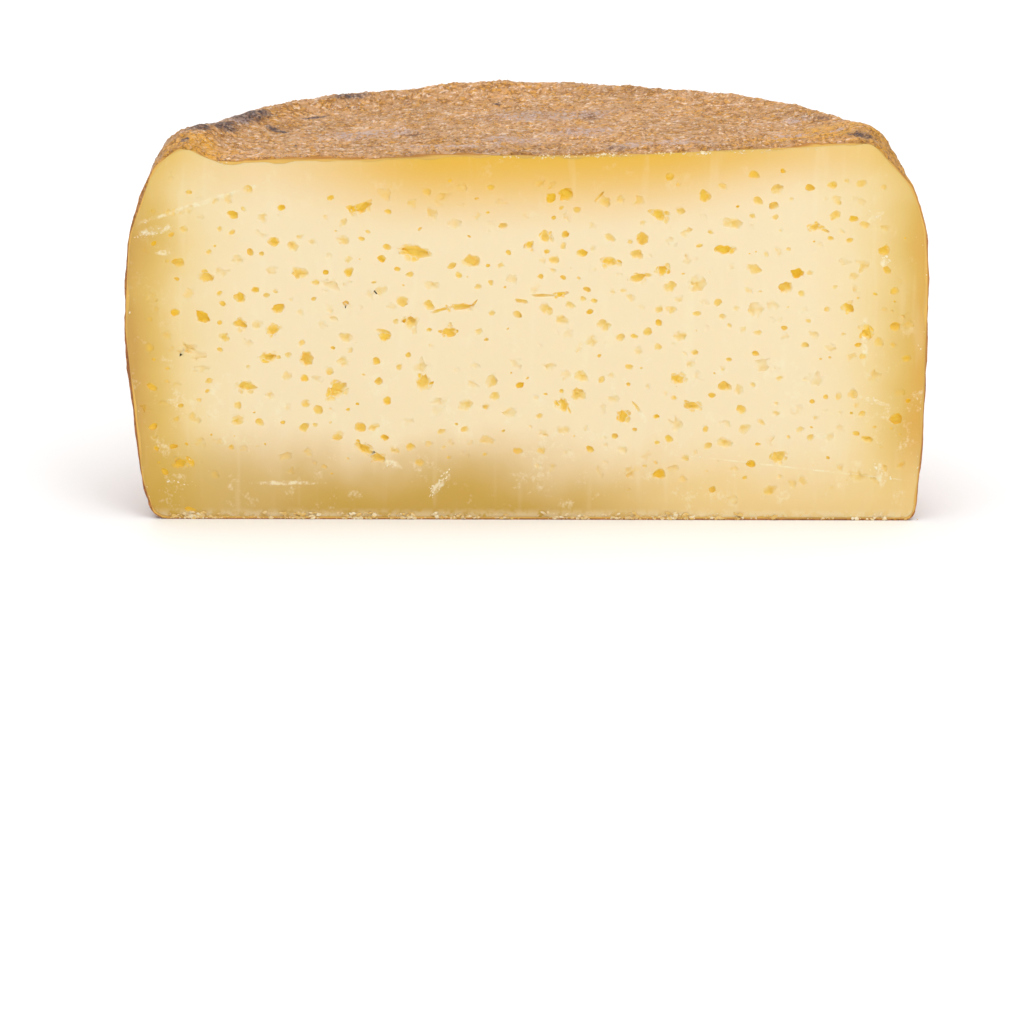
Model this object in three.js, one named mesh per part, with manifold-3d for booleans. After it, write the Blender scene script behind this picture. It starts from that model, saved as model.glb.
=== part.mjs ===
// Half of a small wheel of goat cheese, cut through the middle and standing on its base.
// Lengths are in millimetres and +Z is up. The cut face looks along -Y and X runs along the cut,
// so left is -X and right is +X for someone who looks at the cut face.

import * as THREE from 'three';
import { ParametricGeometry } from 'three/addons/geometries/ParametricGeometry.js';
import { mergeVertices } from 'three/addons/utils/BufferGeometryUtils.js';
import Module from 'manifold-3d';

const { degToRad, lerp, seededRandom, smoothstep } = THREE.MathUtils;

// The wheel. A size with a left and a right changes smoothly round the rind from one to the other.
const BELLY_RADIUS = 100;
const BELLY_HEIGHT = 58;
const HEEL_RADIUS = { left: 95.6, right: 97.8 };
const HEEL_ROUNDING = { left: 5, right: 3 };
const FLANK_POWER = 0.6;
const SHOULDER_WIDTH = 16;
const SHOULDER_POWER = { left: 2.1, right: 1.91 };
const TOP_HEIGHT = 93.6;
const TOP_SLOPE = 0.028;
const LIP_HEIGHT = { left: 4.2, right: 1.2 };
const LIP_POWER = 30;

// Soft lumps all over the rind, as waves in random directions that add up.
const LUMP_WAVES = 12;
const LUMP_HEIGHT = 0.14;
const LUMP_LENGTH = { shortest: 22, longest: 60 };
const LUMP_SEED = 423;
const LUMPS_START_ABOVE_BASE = 14;

// Places where the rind has swollen or, with a height below zero, sunk: the middle of each, its
// height and how far it reaches.
const SWELLINGS = [
  { x: 89, y: 0, z: 93, height: -1.9, reach: 7 },
  { x: 82, y: 14, z: 96, height: 1.4, reach: 9 },
  { x: -84, y: 16, z: 95, height: 1.5, reach: 10 },
  { x: 30, y: 97, z: 46, height: -1.2, reach: 18 },
  { x: -94, y: 36, z: 24, height: -1.1, reach: 15 },
];

// Torn or run-together eyes that stand out on the cut face, read from left to right.
const LARGE_EYES = [
  { x: -87, z: 14.5, width: 5.2, height: 2.2, turn: 8 },
  { x: -80, z: 62.5, width: 4.2, height: 2.6, turn: -15 },
  { x: -70.5, z: 34.5, width: 4.8, height: 2.8, turn: 5 },
  { x: -71.5, z: 50.5, width: 3.8, height: 2.8, turn: 0 },
  { x: -64.5, z: 42, width: 5.6, height: 2.4, turn: 12 },
  { x: -63.5, z: 49, width: 3.4, height: 2.8, turn: 30 },
  { x: -47.5, z: 33.5, width: 5.6, height: 3.8, turn: 38 },
  { x: -41, z: 80, width: 5.2, height: 3.2, turn: 24 },
  { x: -41, z: 18.5, width: 5.6, height: 2.6, turn: -32 },
  { x: -37.5, z: 16, width: 4, height: 2.4, turn: -10 },
  { x: -29, z: 51, width: 3.4, height: 4.4, turn: -12 },
  { x: -28, z: 69, width: 8.4, height: 3.2, turn: -8 },
  { x: -26, z: 35.5, width: 3.4, height: 4.8, turn: -8 },
  { x: -19.5, z: 48.5, width: 4.4, height: 2.6, turn: 12 },
  { x: -16.5, z: 55, width: 7.6, height: 1.6, turn: 6 },
  { x: 0.5, z: 70.5, width: 2.8, height: 2.2, turn: 24 },
  { x: 4.5, z: 73, width: 2.6, height: 3.6, turn: 0 },
  { x: 9, z: 30, width: 3, height: 4.4, turn: 26 },
  { x: 20.5, z: 66.5, width: 4.2, height: 2.8, turn: 0 },
  { x: 24, z: 27, width: 3.8, height: 3, turn: -40 },
  { x: 27.5, z: 62.5, width: 5.2, height: 2, turn: 14 },
  { x: 33.5, z: 64.5, width: 3.4, height: 2.6, turn: 10 },
  { x: 32.5, z: 78.5, width: 4.2, height: 2.8, turn: -16 },
  { x: 37.5, z: 36.5, width: 3.8, height: 3, turn: -10 },
  { x: 41.5, z: 29.5, width: 5.2, height: 2.4, turn: -10 },
  { x: 49, z: 69.5, width: 4.8, height: 2.4, turn: -5 },
  { x: 63, z: 16.5, width: 4.4, height: 3.2, turn: 30 },
  { x: 71, z: 75.5, width: 4.2, height: 2, turn: 18 },
  { x: 79.5, z: 55, width: 3.4, height: 2.8, turn: -35 },
  { x: 84.5, z: 49, width: 3.2, height: 4, turn: 12 },
];

// The eyes between them. FACE_EYES small round ones would cover the whole face, and the part has the
// largest SOLID_EYES of those. The size falls from the first to the last along a Weibull curve.
const FACE_EYES = 460;
const SOLID_EYES = 64;
const EYE_SIZE = 1.9;
const EYE_SIZE_POWER = 0.42;
const EYE_FLATNESS = { roundest: 1, flattest: 1.5 };
const EYE_TURN = 35;
const EYE_DEPTH = 0.6;
const EYE_BURY = { shallow: -0.85, deep: 0.25 };
const EYE_GAP = 1;
const EYE_MARGIN = 4;
const EYE_TOP_FADE = { none: 4, all: 13 };
const EYE_FLOOR = { left: 15, right: 9, fade: 5 };
const EYE_SEED = 2024;
const EYE_SIDES = 9;
const EYE_RINGS = 6;

// How finely the rind is divided. The rings of the top crowd towards its rim.
const AROUND = 116;
const HEEL_STEPS = 4;
const FLANK_STEPS = 6;
const SHOULDER_STEPS = 9;
const TOP_STEPS = 12;
const TOP_CROWDING = 1.4;

const wasm = await Module();
wasm.setup();

// ---- The wheel's form ------------------------------------------------------------------------

function aroundRind(size, angle) {
  return lerp(size.left, size.right, (1 + Math.cos(angle)) / 2);
}

// The top is a sloping plane that curls up near the rim and is level again where it meets it.
function topHeight(radius, angle) {
  const outward = radius / (BELLY_RADIUS - SHOULDER_WIDTH);
  const curl = outward ** LIP_POWER * (1 + LIP_POWER * (1 - outward));
  return TOP_HEIGHT + TOP_SLOPE * radius * Math.cos(angle) + aroundRind(LIP_HEIGHT, angle) * curl;
}

// The wheel's radius at a level above the heel's rounding.
function sideRadius(level, angle) {
  if (level <= BELLY_HEIGHT) {
    const heel = aroundRind(HEEL_RADIUS, angle);
    const start = aroundRind(HEEL_ROUNDING, angle);
    const rise = Math.max(0, level - start) / (BELLY_HEIGHT - start);
    return heel + (BELLY_RADIUS - heel) * Math.sin((rise * Math.PI) / 2) ** FLANK_POWER;
  }
  const rimRadius = BELLY_RADIUS - SHOULDER_WIDTH;
  const rise = (level - BELLY_HEIGHT) / (topHeight(rimRadius, angle) - BELLY_HEIGHT);
  const power = aroundRind(SHOULDER_POWER, angle);
  const inward = Math.max(0, 1 - rise ** power) ** (1 / power);
  return rimRadius + SHOULDER_WIDTH * inward;
}

// The outline of the wheel at one angle, as points (radius, level) from the middle of the base,
// round the heel, up the flank, over the shoulder and in to the middle of the top.
function outline(angle) {
  const points = [new THREE.Vector2(0, 0)];
  const heel = aroundRind(HEEL_RADIUS, angle);
  const rounding = aroundRind(HEEL_ROUNDING, angle);
  for (let step = 0; step < HEEL_STEPS; step++) {
    const turn = (step / HEEL_STEPS) * (Math.PI / 2);
    const radius = heel - rounding * (1 - Math.sin(turn));
    points.push(new THREE.Vector2(radius, rounding * (1 - Math.cos(turn))));
  }
  for (let step = 0; step < FLANK_STEPS; step++) {
    const level = lerp(rounding, BELLY_HEIGHT, step / FLANK_STEPS);
    points.push(new THREE.Vector2(sideRadius(level, angle), level));
  }
  const rimRadius = BELLY_RADIUS - SHOULDER_WIDTH;
  const rimHeight = topHeight(rimRadius, angle);
  const power = aroundRind(SHOULDER_POWER, angle);
  for (let step = 0; step < SHOULDER_STEPS; step++) {
    const turn = (step / SHOULDER_STEPS) * (Math.PI / 2);
    const level = lerp(BELLY_HEIGHT, rimHeight, Math.sin(turn) ** (2 / power));
    const radius = rimRadius + SHOULDER_WIDTH * Math.cos(turn) ** (2 / power);
    points.push(new THREE.Vector2(radius, level));
  }
  for (let step = 0; step <= TOP_STEPS; step++) {
    const radius = rimRadius * (1 - (step / TOP_STEPS) ** TOP_CROWDING);
    points.push(new THREE.Vector2(radius, topHeight(radius, angle)));
  }
  return points;
}

// ---- Lumps and swellings ---------------------------------------------------------------------

function makeLumpWaves() {
  const waves = [];
  seededRandom(LUMP_SEED);
  for (let i = 0; i < LUMP_WAVES; i++) {
    const length = lerp(LUMP_LENGTH.shortest, LUMP_LENGTH.longest, seededRandom());
    const compass = seededRandom() * Math.PI * 2;
    const climb = seededRandom() * 2 - 1;
    const flat = Math.sqrt(1 - climb * climb);
    const direction = new THREE.Vector3(flat * Math.cos(compass), flat * Math.sin(compass), climb);
    direction.multiplyScalar((Math.PI * 2) / length);
    waves.push({ direction, phase: seededRandom() * Math.PI * 2 });
  }
  return waves;
}

const lumpWaves = makeLumpWaves();

// How far the rind stands out at a point, negative where it has sunk.
function relief(point) {
  let height = 0;
  for (const wave of lumpWaves) {
    height += LUMP_HEIGHT * Math.sin(wave.direction.dot(point) + wave.phase);
  }
  for (const { x, y, z, height: peak, reach } of SWELLINGS) {
    const distance = Math.hypot(point.x - x, point.y - y, point.z - z);
    height += peak * Math.exp(-((distance / reach) ** 2));
  }
  return height * smoothstep(point.z, 0, LUMPS_START_ABOVE_BASE);
}

// ---- Solids ----------------------------------------------------------------------------------

// A closed solid from a geometry, with shared corners merged and collapsed triangles left out.
function makeSolid(geometry) {
  geometry.deleteAttribute('normal');
  geometry.deleteAttribute('uv');
  const merged = mergeVertices(geometry);
  const corners = merged.index.array;
  const kept = [];
  for (let i = 0; i < corners.length; i += 3) {
    const [a, b, c] = corners.slice(i, i + 3);
    if (a !== b && b !== c && c !== a) kept.push(a, b, c);
  }
  const vertProperties = new Float32Array(merged.attributes.position.array);
  const triVerts = new Uint32Array(kept);
  return new wasm.Manifold(new wasm.Mesh({ numProp: 3, vertProperties, triVerts }));
}

function makeWheel() {
  const rows = HEEL_STEPS + FLANK_STEPS + SHOULDER_STEPS + TOP_STEPS + 1;
  const surface = (u, v, target) => {
    // Half a step of turn keeps the corners of the surface clear of the knife's plane.
    const angle = (u + 0.5 / AROUND) * Math.PI * 2;
    const row = Math.round(v * rows);
    const points = outline(angle);
    const here = points[row];
    target.set(here.x * Math.cos(angle), here.x * Math.sin(angle), here.y);
    if (row === 0 || row === rows) return;
    const along = points[row + 1].clone().sub(points[row - 1]).normalize();
    const height = relief(target);
    const radius = here.x + height * along.y;
    target.set(radius * Math.cos(angle), radius * Math.sin(angle), here.y - height * along.x);
  };
  return makeSolid(new ParametricGeometry(surface, AROUND, rows));
}

// The knife takes away everything in front of the cut.
function makeKnife() {
  const size = BELLY_RADIUS * 3;
  const box = new THREE.BoxGeometry(size, size, size);
  box.translate(0, -size / 2, 0);
  return makeSolid(box);
}

// ---- Eyes ------------------------------------------------------------------------------------

// How likely an eye is at a place on the cut face: none by the rind, few near the top and base.
function eyeChance(x, z) {
  const angle = x < 0 ? Math.PI : 0;
  const below = topHeight(Math.min(Math.abs(x), BELLY_RADIUS - SHOULDER_WIDTH), angle) - z;
  if (below <= 0 || Math.abs(x) > sideRadius(z, angle) - EYE_MARGIN) return 0;
  const floor = lerp(EYE_FLOOR.left, EYE_FLOOR.right, smoothstep(x, -10, 50));
  const fromTop = smoothstep(below, EYE_TOP_FADE.none, EYE_TOP_FADE.all);
  const fromBase = smoothstep(z, floor - EYE_FLOOR.fade, floor + EYE_FLOOR.fade);
  return fromTop * fromBase;
}

function isClear(x, z, width, eyes) {
  return eyes.every((other) => {
    const room = (width + other.width) / 2 + EYE_GAP;
    return Math.hypot(x - other.x, z - other.z) > room;
  });
}

function placeEyes() {
  const eyes = LARGE_EYES.map((eye) => ({ ...eye, bury: 0.1 }));
  seededRandom(EYE_SEED);
  for (let i = 0; i < SOLID_EYES; i++) {
    const share = (i + 0.5) / FACE_EYES;
    const width = EYE_SIZE * (-Math.log(share)) ** EYE_SIZE_POWER;
    let x;
    let z;
    do {
      x = (seededRandom() * 2 - 1) * BELLY_RADIUS;
      z = seededRandom() * TOP_HEIGHT;
    } while (seededRandom() > eyeChance(x, z) || !isClear(x, z, width, eyes));
    const height = width / lerp(EYE_FLATNESS.roundest, EYE_FLATNESS.flattest, seededRandom());
    const turn = (seededRandom() * 2 - 1) * EYE_TURN;
    const bury = lerp(EYE_BURY.shallow, EYE_BURY.deep, seededRandom());
    eyes.push({ x, z, width, height, turn, bury });
  }
  return eyes;
}

// A bubble that opens on the cut face with the eye's width and height. It is flat from front to back
// by EYE_DEPTH. Its middle lies behind the face by the share "bury" of its own depth, or in front of
// the face where that is negative.
function makeBubble(eye) {
  const opening = Math.sqrt(1 - eye.bury ** 2);
  const depth = (EYE_DEPTH * Math.sqrt(eye.width * eye.height)) / 2 / opening;
  const bubble = new THREE.SphereGeometry(1, EYE_SIDES, EYE_RINGS);
  bubble.scale(eye.width / 2 / opening, depth, eye.height / 2 / opening);
  bubble.rotateY(-degToRad(eye.turn));
  bubble.translate(eye.x, eye.bury * depth, eye.z);
  return makeSolid(bubble);
}

// ---- The half --------------------------------------------------------------------------------

function makeHalf() {
  const bubbles = wasm.Manifold.union(placeEyes().map(makeBubble));
  const half = makeWheel().subtract(makeKnife()).subtract(bubbles);
  const { vertProperties, triVerts } = half.getMesh();
  const geometry = new THREE.BufferGeometry();
  geometry.setAttribute('position', new THREE.BufferAttribute(vertProperties, 3));
  geometry.setIndex(new THREE.BufferAttribute(triVerts, 1));
  geometry.computeVertexNormals();
  return geometry;
}

const paste = new THREE.MeshStandardMaterial({ color: '#f3deaa', roughness: 0.6, metalness: 0 });
const cheeseHalf = new THREE.Mesh(makeHalf(), paste);
cheeseHalf.name = 'cheese_half';

// The half stands on the ground with the middle of its box over the origin.
cheeseHalf.geometry.computeBoundingBox();
const box = cheeseHalf.geometry.boundingBox;
cheeseHalf.position.set(-(box.min.x + box.max.x) / 2, -(box.min.y + box.max.y) / 2, -box.min.z);

const goatCheese = new THREE.Group();
goatCheese.add(cheeseHalf);

export default goatCheese;
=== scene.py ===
import math

import bpy
import numpy as np
from bpy.props import FloatProperty, FloatVectorProperty, IntProperty, PointerProperty
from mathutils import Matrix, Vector


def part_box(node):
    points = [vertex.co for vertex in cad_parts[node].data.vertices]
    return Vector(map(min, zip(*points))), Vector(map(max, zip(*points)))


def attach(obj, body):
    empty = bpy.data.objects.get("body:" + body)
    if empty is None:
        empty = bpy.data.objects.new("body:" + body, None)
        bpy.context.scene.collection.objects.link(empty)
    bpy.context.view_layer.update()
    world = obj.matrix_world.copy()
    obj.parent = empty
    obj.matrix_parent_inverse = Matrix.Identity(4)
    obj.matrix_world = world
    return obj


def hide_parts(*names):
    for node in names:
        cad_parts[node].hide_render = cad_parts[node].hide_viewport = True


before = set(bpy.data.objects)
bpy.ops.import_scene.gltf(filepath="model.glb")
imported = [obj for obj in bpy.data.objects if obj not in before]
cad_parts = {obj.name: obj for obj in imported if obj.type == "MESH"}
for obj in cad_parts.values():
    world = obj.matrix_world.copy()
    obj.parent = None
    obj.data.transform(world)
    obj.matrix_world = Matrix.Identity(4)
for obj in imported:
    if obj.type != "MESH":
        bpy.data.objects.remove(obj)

bl_info = {
    "name": "Goat cheese half",
    "version": (1, 0, 0),
    "blender": (4, 5, 0),
    "location": "3D View > Sidebar > Goat cheese",
    "description": "Half of a small wheel of goat cheese with its rind, eyes and crumbs",
    "category": "Object",
}

NODE = "cheese_half"
BODY = "root"

# Lengths are in millimetres in the wheel's own axes until a mesh is made. There the cut is the plane
# y = 0, the half lies behind it, X runs along the cut and the base is at z = 0.
MM = 0.001
CAD_LOW, CAD_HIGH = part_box(NODE)
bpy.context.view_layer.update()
AXIS_RIGHT_OF_MIDDLE = 0.273
WHEEL_ORIGIN = np.array([AXIS_RIGHT_OF_MIDDLE * MM, CAD_LOW.y, CAD_LOW.z])

# ---- The wheel -------------------------------------------------------------------------------
# A size with two values changes smoothly round the rind from the left one to the right one.

BELLY_RADIUS = 100.0
BELLY_HEIGHT = 58.0
HEEL_RADIUS = (95.6, 97.8)
HEEL_ROUNDING = (5.0, 3.0)
FLANK_POWER = 0.6
SHOULDER_WIDTH = 16.0
SHOULDER_POWER = (2.1, 1.91)
RIM_RADIUS = BELLY_RADIUS - SHOULDER_WIDTH
TOP_HEIGHT = 93.6
TOP_SLOPE = 0.028
LIP_HEIGHT = (4.2, 1.2)
LIP_POWER = 30

LUMP_WAVES = 12
LUMP_HEIGHT = 0.14
LUMP_LENGTH = (22.0, 60.0)
LUMP_SEED = 423
LUMPS_START_ABOVE_BASE = 14.0

# Where the rind has swollen or, below zero, sunk: the middle of each place, its height and reach.
SWELLINGS = (
    ((89, 0, 93), -1.9, 7),
    ((82, 14, 96), 1.4, 9),
    ((-84, 16, 95), 1.5, 10),
    ((30, 97, 46), -1.2, 18),
    ((-94, 36, 24), -1.1, 15),
)

# How the rind's thickness changes along the cut, as waves that add up and fade out behind it.
EDGE_WAVES = 7
EDGE_WAVE_LENGTH = (4.5, 13.0)
EDGE_THICKENING = 0.9
EDGE_DEPTH = 6.0
EDGE_SEED = 58

# ---- The eyes --------------------------------------------------------------------------------
# Torn or run-together eyes, read from left to right: x, z, width, height and turn in degrees.

LARGE_EYES = (
    (-87, 14.5, 5.2, 2.2, 8),
    (-80, 62.5, 4.2, 2.6, -15),
    (-70.5, 34.5, 4.8, 2.8, 5),
    (-71.5, 50.5, 3.8, 2.8, 0),
    (-64.5, 42, 5.6, 2.4, 12),
    (-63.5, 49, 3.4, 2.8, 30),
    (-47.5, 33.5, 5.6, 3.8, 38),
    (-41, 80, 5.2, 3.2, 24),
    (-41, 18.5, 5.6, 2.6, -32),
    (-37.5, 16, 4, 2.4, -10),
    (-29, 51, 3.4, 4.4, -12),
    (-28, 69, 8.4, 3.2, -8),
    (-26, 35.5, 3.4, 4.8, -8),
    (-19.5, 48.5, 4.4, 2.6, 12),
    (-16.5, 55, 7.6, 1.6, 6),
    (0.5, 70.5, 2.8, 2.2, 24),
    (8.2, 58.2, 3.4, 1.3, 6),
    (4.5, 73, 2.6, 3.6, 0),
    (9, 30, 3, 4.4, 26),
    (20.5, 66.5, 4.2, 2.8, 0),
    (24, 27, 3.8, 3, -40),
    (27.5, 62.5, 5.2, 2, 14),
    (33.5, 64.5, 3.4, 2.6, 10),
    (32.5, 78.5, 4.2, 2.8, -16),
    (37.5, 36.5, 3.8, 3, -10),
    (41.5, 29.5, 5.2, 2.4, -10),
    (49, 69.5, 4.8, 2.4, -5),
    (63, 16.5, 4.4, 3.2, 30),
    (71, 75.5, 4.2, 2, 18),
    (79.5, 55, 3.4, 2.8, -35),
    (84.5, 49, 3.2, 4, 12),
)
LARGE_EYE_BURY = 0.1
LARGE_EYE_CORE = 0.8
SLIT_BURY = -0.15
FAINT_EYES = 90
FAINT_EYE_WIDTH = (0.8, 1.9)
FAINT_EYE_BURY = (-0.93, -0.82)
FACE_EYES = 460
EYE_SIZE = 1.9
EYE_SIZE_POWER = 0.42
EYE_FLATNESS = (1.0, 1.5)
EYE_TURN = 35.0
EYE_DEPTH = 0.6
EYE_BURY = (-0.85, 0.25)
EYE_GAP = 1.0
EYE_MARGIN = 4.0
EYE_TOP_FADE = (4.0, 13.0)
EYE_FLOOR = (15.0, 9.0)
EYE_FLOOR_FADE = 5.0
EYE_SEED = 2024
EYE_TILT = 25.0
EYE_FLARE = 0.22
# How strong the painted golden glow in an eye is, from the shallowest to the deepest, and its random
# spread.
EYE_TINT = (0.55, 1.0)
EYE_TINT_SPREAD = (0.8, 1.0)
FINE_EYE_WIDTH = 2.4
FINE_EYE_BURY = -0.3

# Thin cracks between the eyes, with the same five values as a large eye.
SLITS = (
    (3.4, 57.9, 5.0, 0.7, 0),
    (-1.6, 56.4, 3.2, 0.9, -8),
    (-21.5, 54.2, 4.4, 0.7, 16),
    (17.6, 82.8, 3.4, 0.8, 48),
    (-36, 48.6, 3.8, 1.1, -14),
    (-84.8, 2.4, 2.8, 1.1, -12),
    (73.5, 74.6, 3.4, 0.7, -24),
    (27.2, 29.5, 3.2, 0.8, -52),
    (-39, 1.6, 2.2, 0.6, 8),
    (59.5, 0.3, 3.6, 2.0, -8),
)
TEARS_PER_EYE = 4
TEAR_SETS = tuple(f"Tears {number}" for number in range(1, TEARS_PER_EYE + 1))
TEAR_SEED = 77
TEAR_ACROSS = (0.28, 0.52)
TEAR_ALONG = (0.25, 0.5)
TEAR_WIDTH = (0.22, 0.52)
TEAR_HEIGHT = (0.28, 0.65)
TEAR_TWIST = 70
TEAR_BURY = (-0.7, 0.2)

# ---- The crumbs ------------------------------------------------------------------------------
# A scrape or crumbly patch: where it starts and ends on the face, its half width and its crumbs.

SCRAPES = (
    ((-95.2, 76.2), (-66.6, 85.7), 0.4, 18),
    ((-96.5, 72.6), (-88.5, 75.2), 1.2, 60),
    ((84.0, 79.5), (88.0, 77.0), 1.2, 12),
    ((87.5, 68.5), (91.0, 65.5), 1.1, 12),
    ((82.0, 32.5), (90.5, 29.0), 1.2, 12),
    ((86.0, 15.5), (92.5, 8.0), 1.6, 18),
    ((40.5, 16.7), (95.2, 10.3), 0.25, 16),
    ((-24.8, 6.2), (-19.0, 12.6), 1.2, 60),
    ((-36.5, 13.2), (-33.5, 15.0), 0.8, 12),
    ((-91.5, 10.0), (-83.0, 9.0), 0.7, 14),
    ((27.5, 29.0), (30.5, 25.0), 0.8, 12),
)
SCRAPE_CRUMB = (0.12, 0.4)
SCRAPE_PALE = (0.5, 1.0)
SCRAPE_TWIST = 0.6
EYE_CRUMBS = 4
EYE_CRUMB = (0.1, 0.26)
EYE_CRUMB_OUT = (0.0, 0.35)
EYE_CRUMB_ARC = 2.4
EYE_CRUMB_PALE = (0.3, 0.8)

# Clusters of flakes along an edge: where they start and end, how many there are, how far each
# reaches, how many flakes it has and how large those are.
BASE_CLUSTERS = ((-93.0, 96.0), 80, (1.0, 6.0), (4, 14), (0.12, 0.6))
TOP_CLUSTERS = ((-12.0, 62.0), 30, (0.8, 3.2), (4, 10), (0.12, 0.36))
FAR_TOP_CLUSTERS = ((-80.0, 82.0), 12, (0.6, 1.6), (2, 5), (0.1, 0.28))
SIDE_CRUMBS = 26
SIDE_CRUMB = (0.12, 0.34)
SIDE_CRUMB_LEVEL = (4, 84)
CRUMB_SEED = 31
CRUMB_BEHIND_CUT = (-0.04, 0.1)
CRUMB_TILT = (-0.5, 0.5)

# The half axes of a crumb, each as shares of its size.
CRUMB_LENGTH = (0.9, 1.5)
CRUMB_THICKNESS = (0.25, 0.6)
CRUMB_WIDTH = (0.4, 0.85)

# ---- How finely the meshes are divided -------------------------------------------------------

TOP_CELLS = 130
HEEL_STEPS = 6
FLANK_STEPS = 36
SHOULDER_STEPS = 38
CORE_CELLS = 66
CORE_HEEL_STEPS = 4
CORE_FLANK_STEPS = 26
CORE_SHOULDER_STEPS = 22
KNIFE_CELL = 0.9
KNIFE_DEPTH = 4.0
CORE_REACH = 2.0
RIND_AT_LEAST = 0.1
PASTE_GAP = 0.015
DEPTH_LEVELS = 60
SHARP_ANGLE = 48.0


def colour(red, green, blue):
    """A colour as the eye sees it, from 0 to 255, in the linear values that Blender mixes."""
    linear = []
    for value in (red, green, blue):
        share = value / 255
        linear.append(share / 12.92 if share <= 0.04045 else ((share + 0.055) / 1.055) ** 2.4)
    return tuple(linear)


# ---- Settings --------------------------------------------------------------------------------


def length_setting(name, description, millimetres):
    return FloatProperty(
        name=name,
        description=description,
        default=millimetres * MM,
        min=0.0,
        precision=5,
        subtype="DISTANCE",
        unit="LENGTH",
    )


def power_setting(name, description, watts):
    return FloatProperty(name=name, description=description, default=watts, min=0.0, unit="POWER")


def share_setting(name, description, share, most):
    return FloatProperty(
        name=name, description=description, default=share, min=0.0, max=most, subtype="FACTOR"
    )


def colour_setting(name, description, *shade):
    return FloatVectorProperty(
        name=name,
        description=description,
        default=colour(*shade),
        size=3,
        min=0.0,
        max=1.0,
        subtype="COLOR",
    )


class RindSettings(bpy.types.PropertyGroup):
    thickness: length_setting("Thickness", "Thickness of the brown rind", 0.62)
    wrinkle_size: length_setting("Wrinkle size", "Distance from one wrinkle to the next", 1.9)
    wrinkle_height: length_setting("Wrinkle height", "Height of a wrinkle above its crease", 0.5)
    raggedness: length_setting("Raggedness", "How far the edge along the cut strays", 1.7)
    bulge_height: length_setting("Bulge height", "Height of the soft bulges", 1.5)
    # Ridge highlight: pale pink on the ridges of the top, a painted highlight.
    ridge_highlight: colour_setting("Ridge", "Dry ridges of the top", 236, 202, 172)
    tan: colour_setting("Tan", "Most of the top", 204, 152, 99)
    ochre: colour_setting("Ochre", "Moist golden mottling", 208, 146, 54)
    # Crease: painted shade in the bottoms of the wrinkles and folds; the same brown also makes the dark
    # specks.
    crease_shade_and_specks: colour_setting("Crease", "Bottoms of the wrinkles", 120, 70, 36)
    # Flank: the side's own more orange rind colour, darkened as painted shade.
    flank: colour_setting("Flank", "Most of the side", 176, 110, 52)
    # Flank ridge highlight: paler colour on the ridges of the side, a painted highlight.
    flank_ridge_highlight: colour_setting("Flank ridge", "Dry ridges of the side", 188, 134, 96)
    # Glow: painted light shining through the rind; also the orange mottling of the side.
    glow: colour_setting("Glow", "Rind that the light shines through", 220, 156, 40)
    cut_edge: colour_setting("Cut edge", "Outer line of the rind where it is cut", 186, 126, 54)
    bloom: colour_setting("Bloom", "Pale grey-pink bloom of old mould", 196, 168, 158)
    mould: colour_setting("Mould", "Dark patches and cracks", 76, 54, 54)
    stain: colour_setting("Stain", "Brown stains along the cut", 118, 78, 50)


class PasteSettings(bpy.types.PropertyGroup):
    heart: colour_setting("Heart", "Middle of the cut face", 248, 228, 190)
    rim: colour_setting("Rim", "Drier paste next to the rind", 210, 166, 82)
    right_rim: colour_setting("Right rim", "Paste next to the rind on the right", 230, 178, 74)
    top_band: colour_setting("Top band", "Paste under the top", 236, 189, 70)
    # Base band: darker paste above the base, partly its own riper colour and partly painted shade.
    base_band: colour_setting("Base band", "Paste above the left half of the base", 205, 165, 56)
    foot: colour_setting("Foot", "Paste above the right half of the base", 241, 211, 144)
    # Eye: painted golden glow of light passing through the paste, inside the eyes.
    eye: colour_setting("Eye", "Inside of the eyes", 255, 209, 48)
    crumb: colour_setting("Crumb", "Torn and scraped paste", 252, 240, 208)
    flake: colour_setting("Flake", "Flakes that have the edge's colour", 232, 194, 112)
    waviness: length_setting("Waviness", "How far the cut face is from flat", 0.12)
    eye_roughness: share_setting("Eye roughness", "How far an eye is from smooth, per size", 2.4, 3.0)


class CrumbSettings(bpy.types.PropertyGroup):
    raggedness: share_setting("Raggedness", "How far a crumb is from round, per size", 0.8, 2.0)
    seed: IntProperty(name="Seed", description="Seed of places and sizes", default=CRUMB_SEED, min=1)


class StageSettings(bpy.types.PropertyGroup):
    floor: colour_setting("Floor", "The pale floor", 250, 250, 250)
    daylight: FloatProperty(
        name="Daylight",
        description="Strength of the even white light from all sides",
        default=0.54,
        min=0.0,
    )
    overhead: power_setting("Overhead light", "Wide light panel above the stage", 36.0)
    key: power_setting("Key light", "Soft light above the camera", 2.3)
    back: power_setting("Back light", "Small light behind that shows the top's wrinkles", 1.4)


# ---- The wheel's form ------------------------------------------------------------------------


class Draws:
    """Random numbers from 0 to 1 by the Mulberry32 rule, the same from the same seed."""

    MASK = 0xFFFFFFFF
    STEP = 0x6D2B79F5

    def __init__(self, seed):
        self.state = seed
        self.next()

    def next(self):
        self.state = (self.state + self.STEP) & self.MASK
        mixed = self.state
        mixed = ((mixed ^ (mixed >> 15)) * (mixed | 1)) & self.MASK
        mixed ^= (mixed + ((mixed ^ (mixed >> 7)) * (mixed | 61) & self.MASK)) & self.MASK
        return ((mixed ^ (mixed >> 14)) & self.MASK) / 2**32

    def between(self, low, high):
        return low + (high - low) * self.next()


def lerp(start, end, share):
    return start + (end - start) * share


def smoothstep(value, low, high):
    share = np.clip((value - low) / (high - low), 0, 1)
    return share * share * (3 - 2 * share)


def around_rind(size, angle):
    left, right = size
    return lerp(left, right, (1 + np.cos(angle)) / 2)


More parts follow.
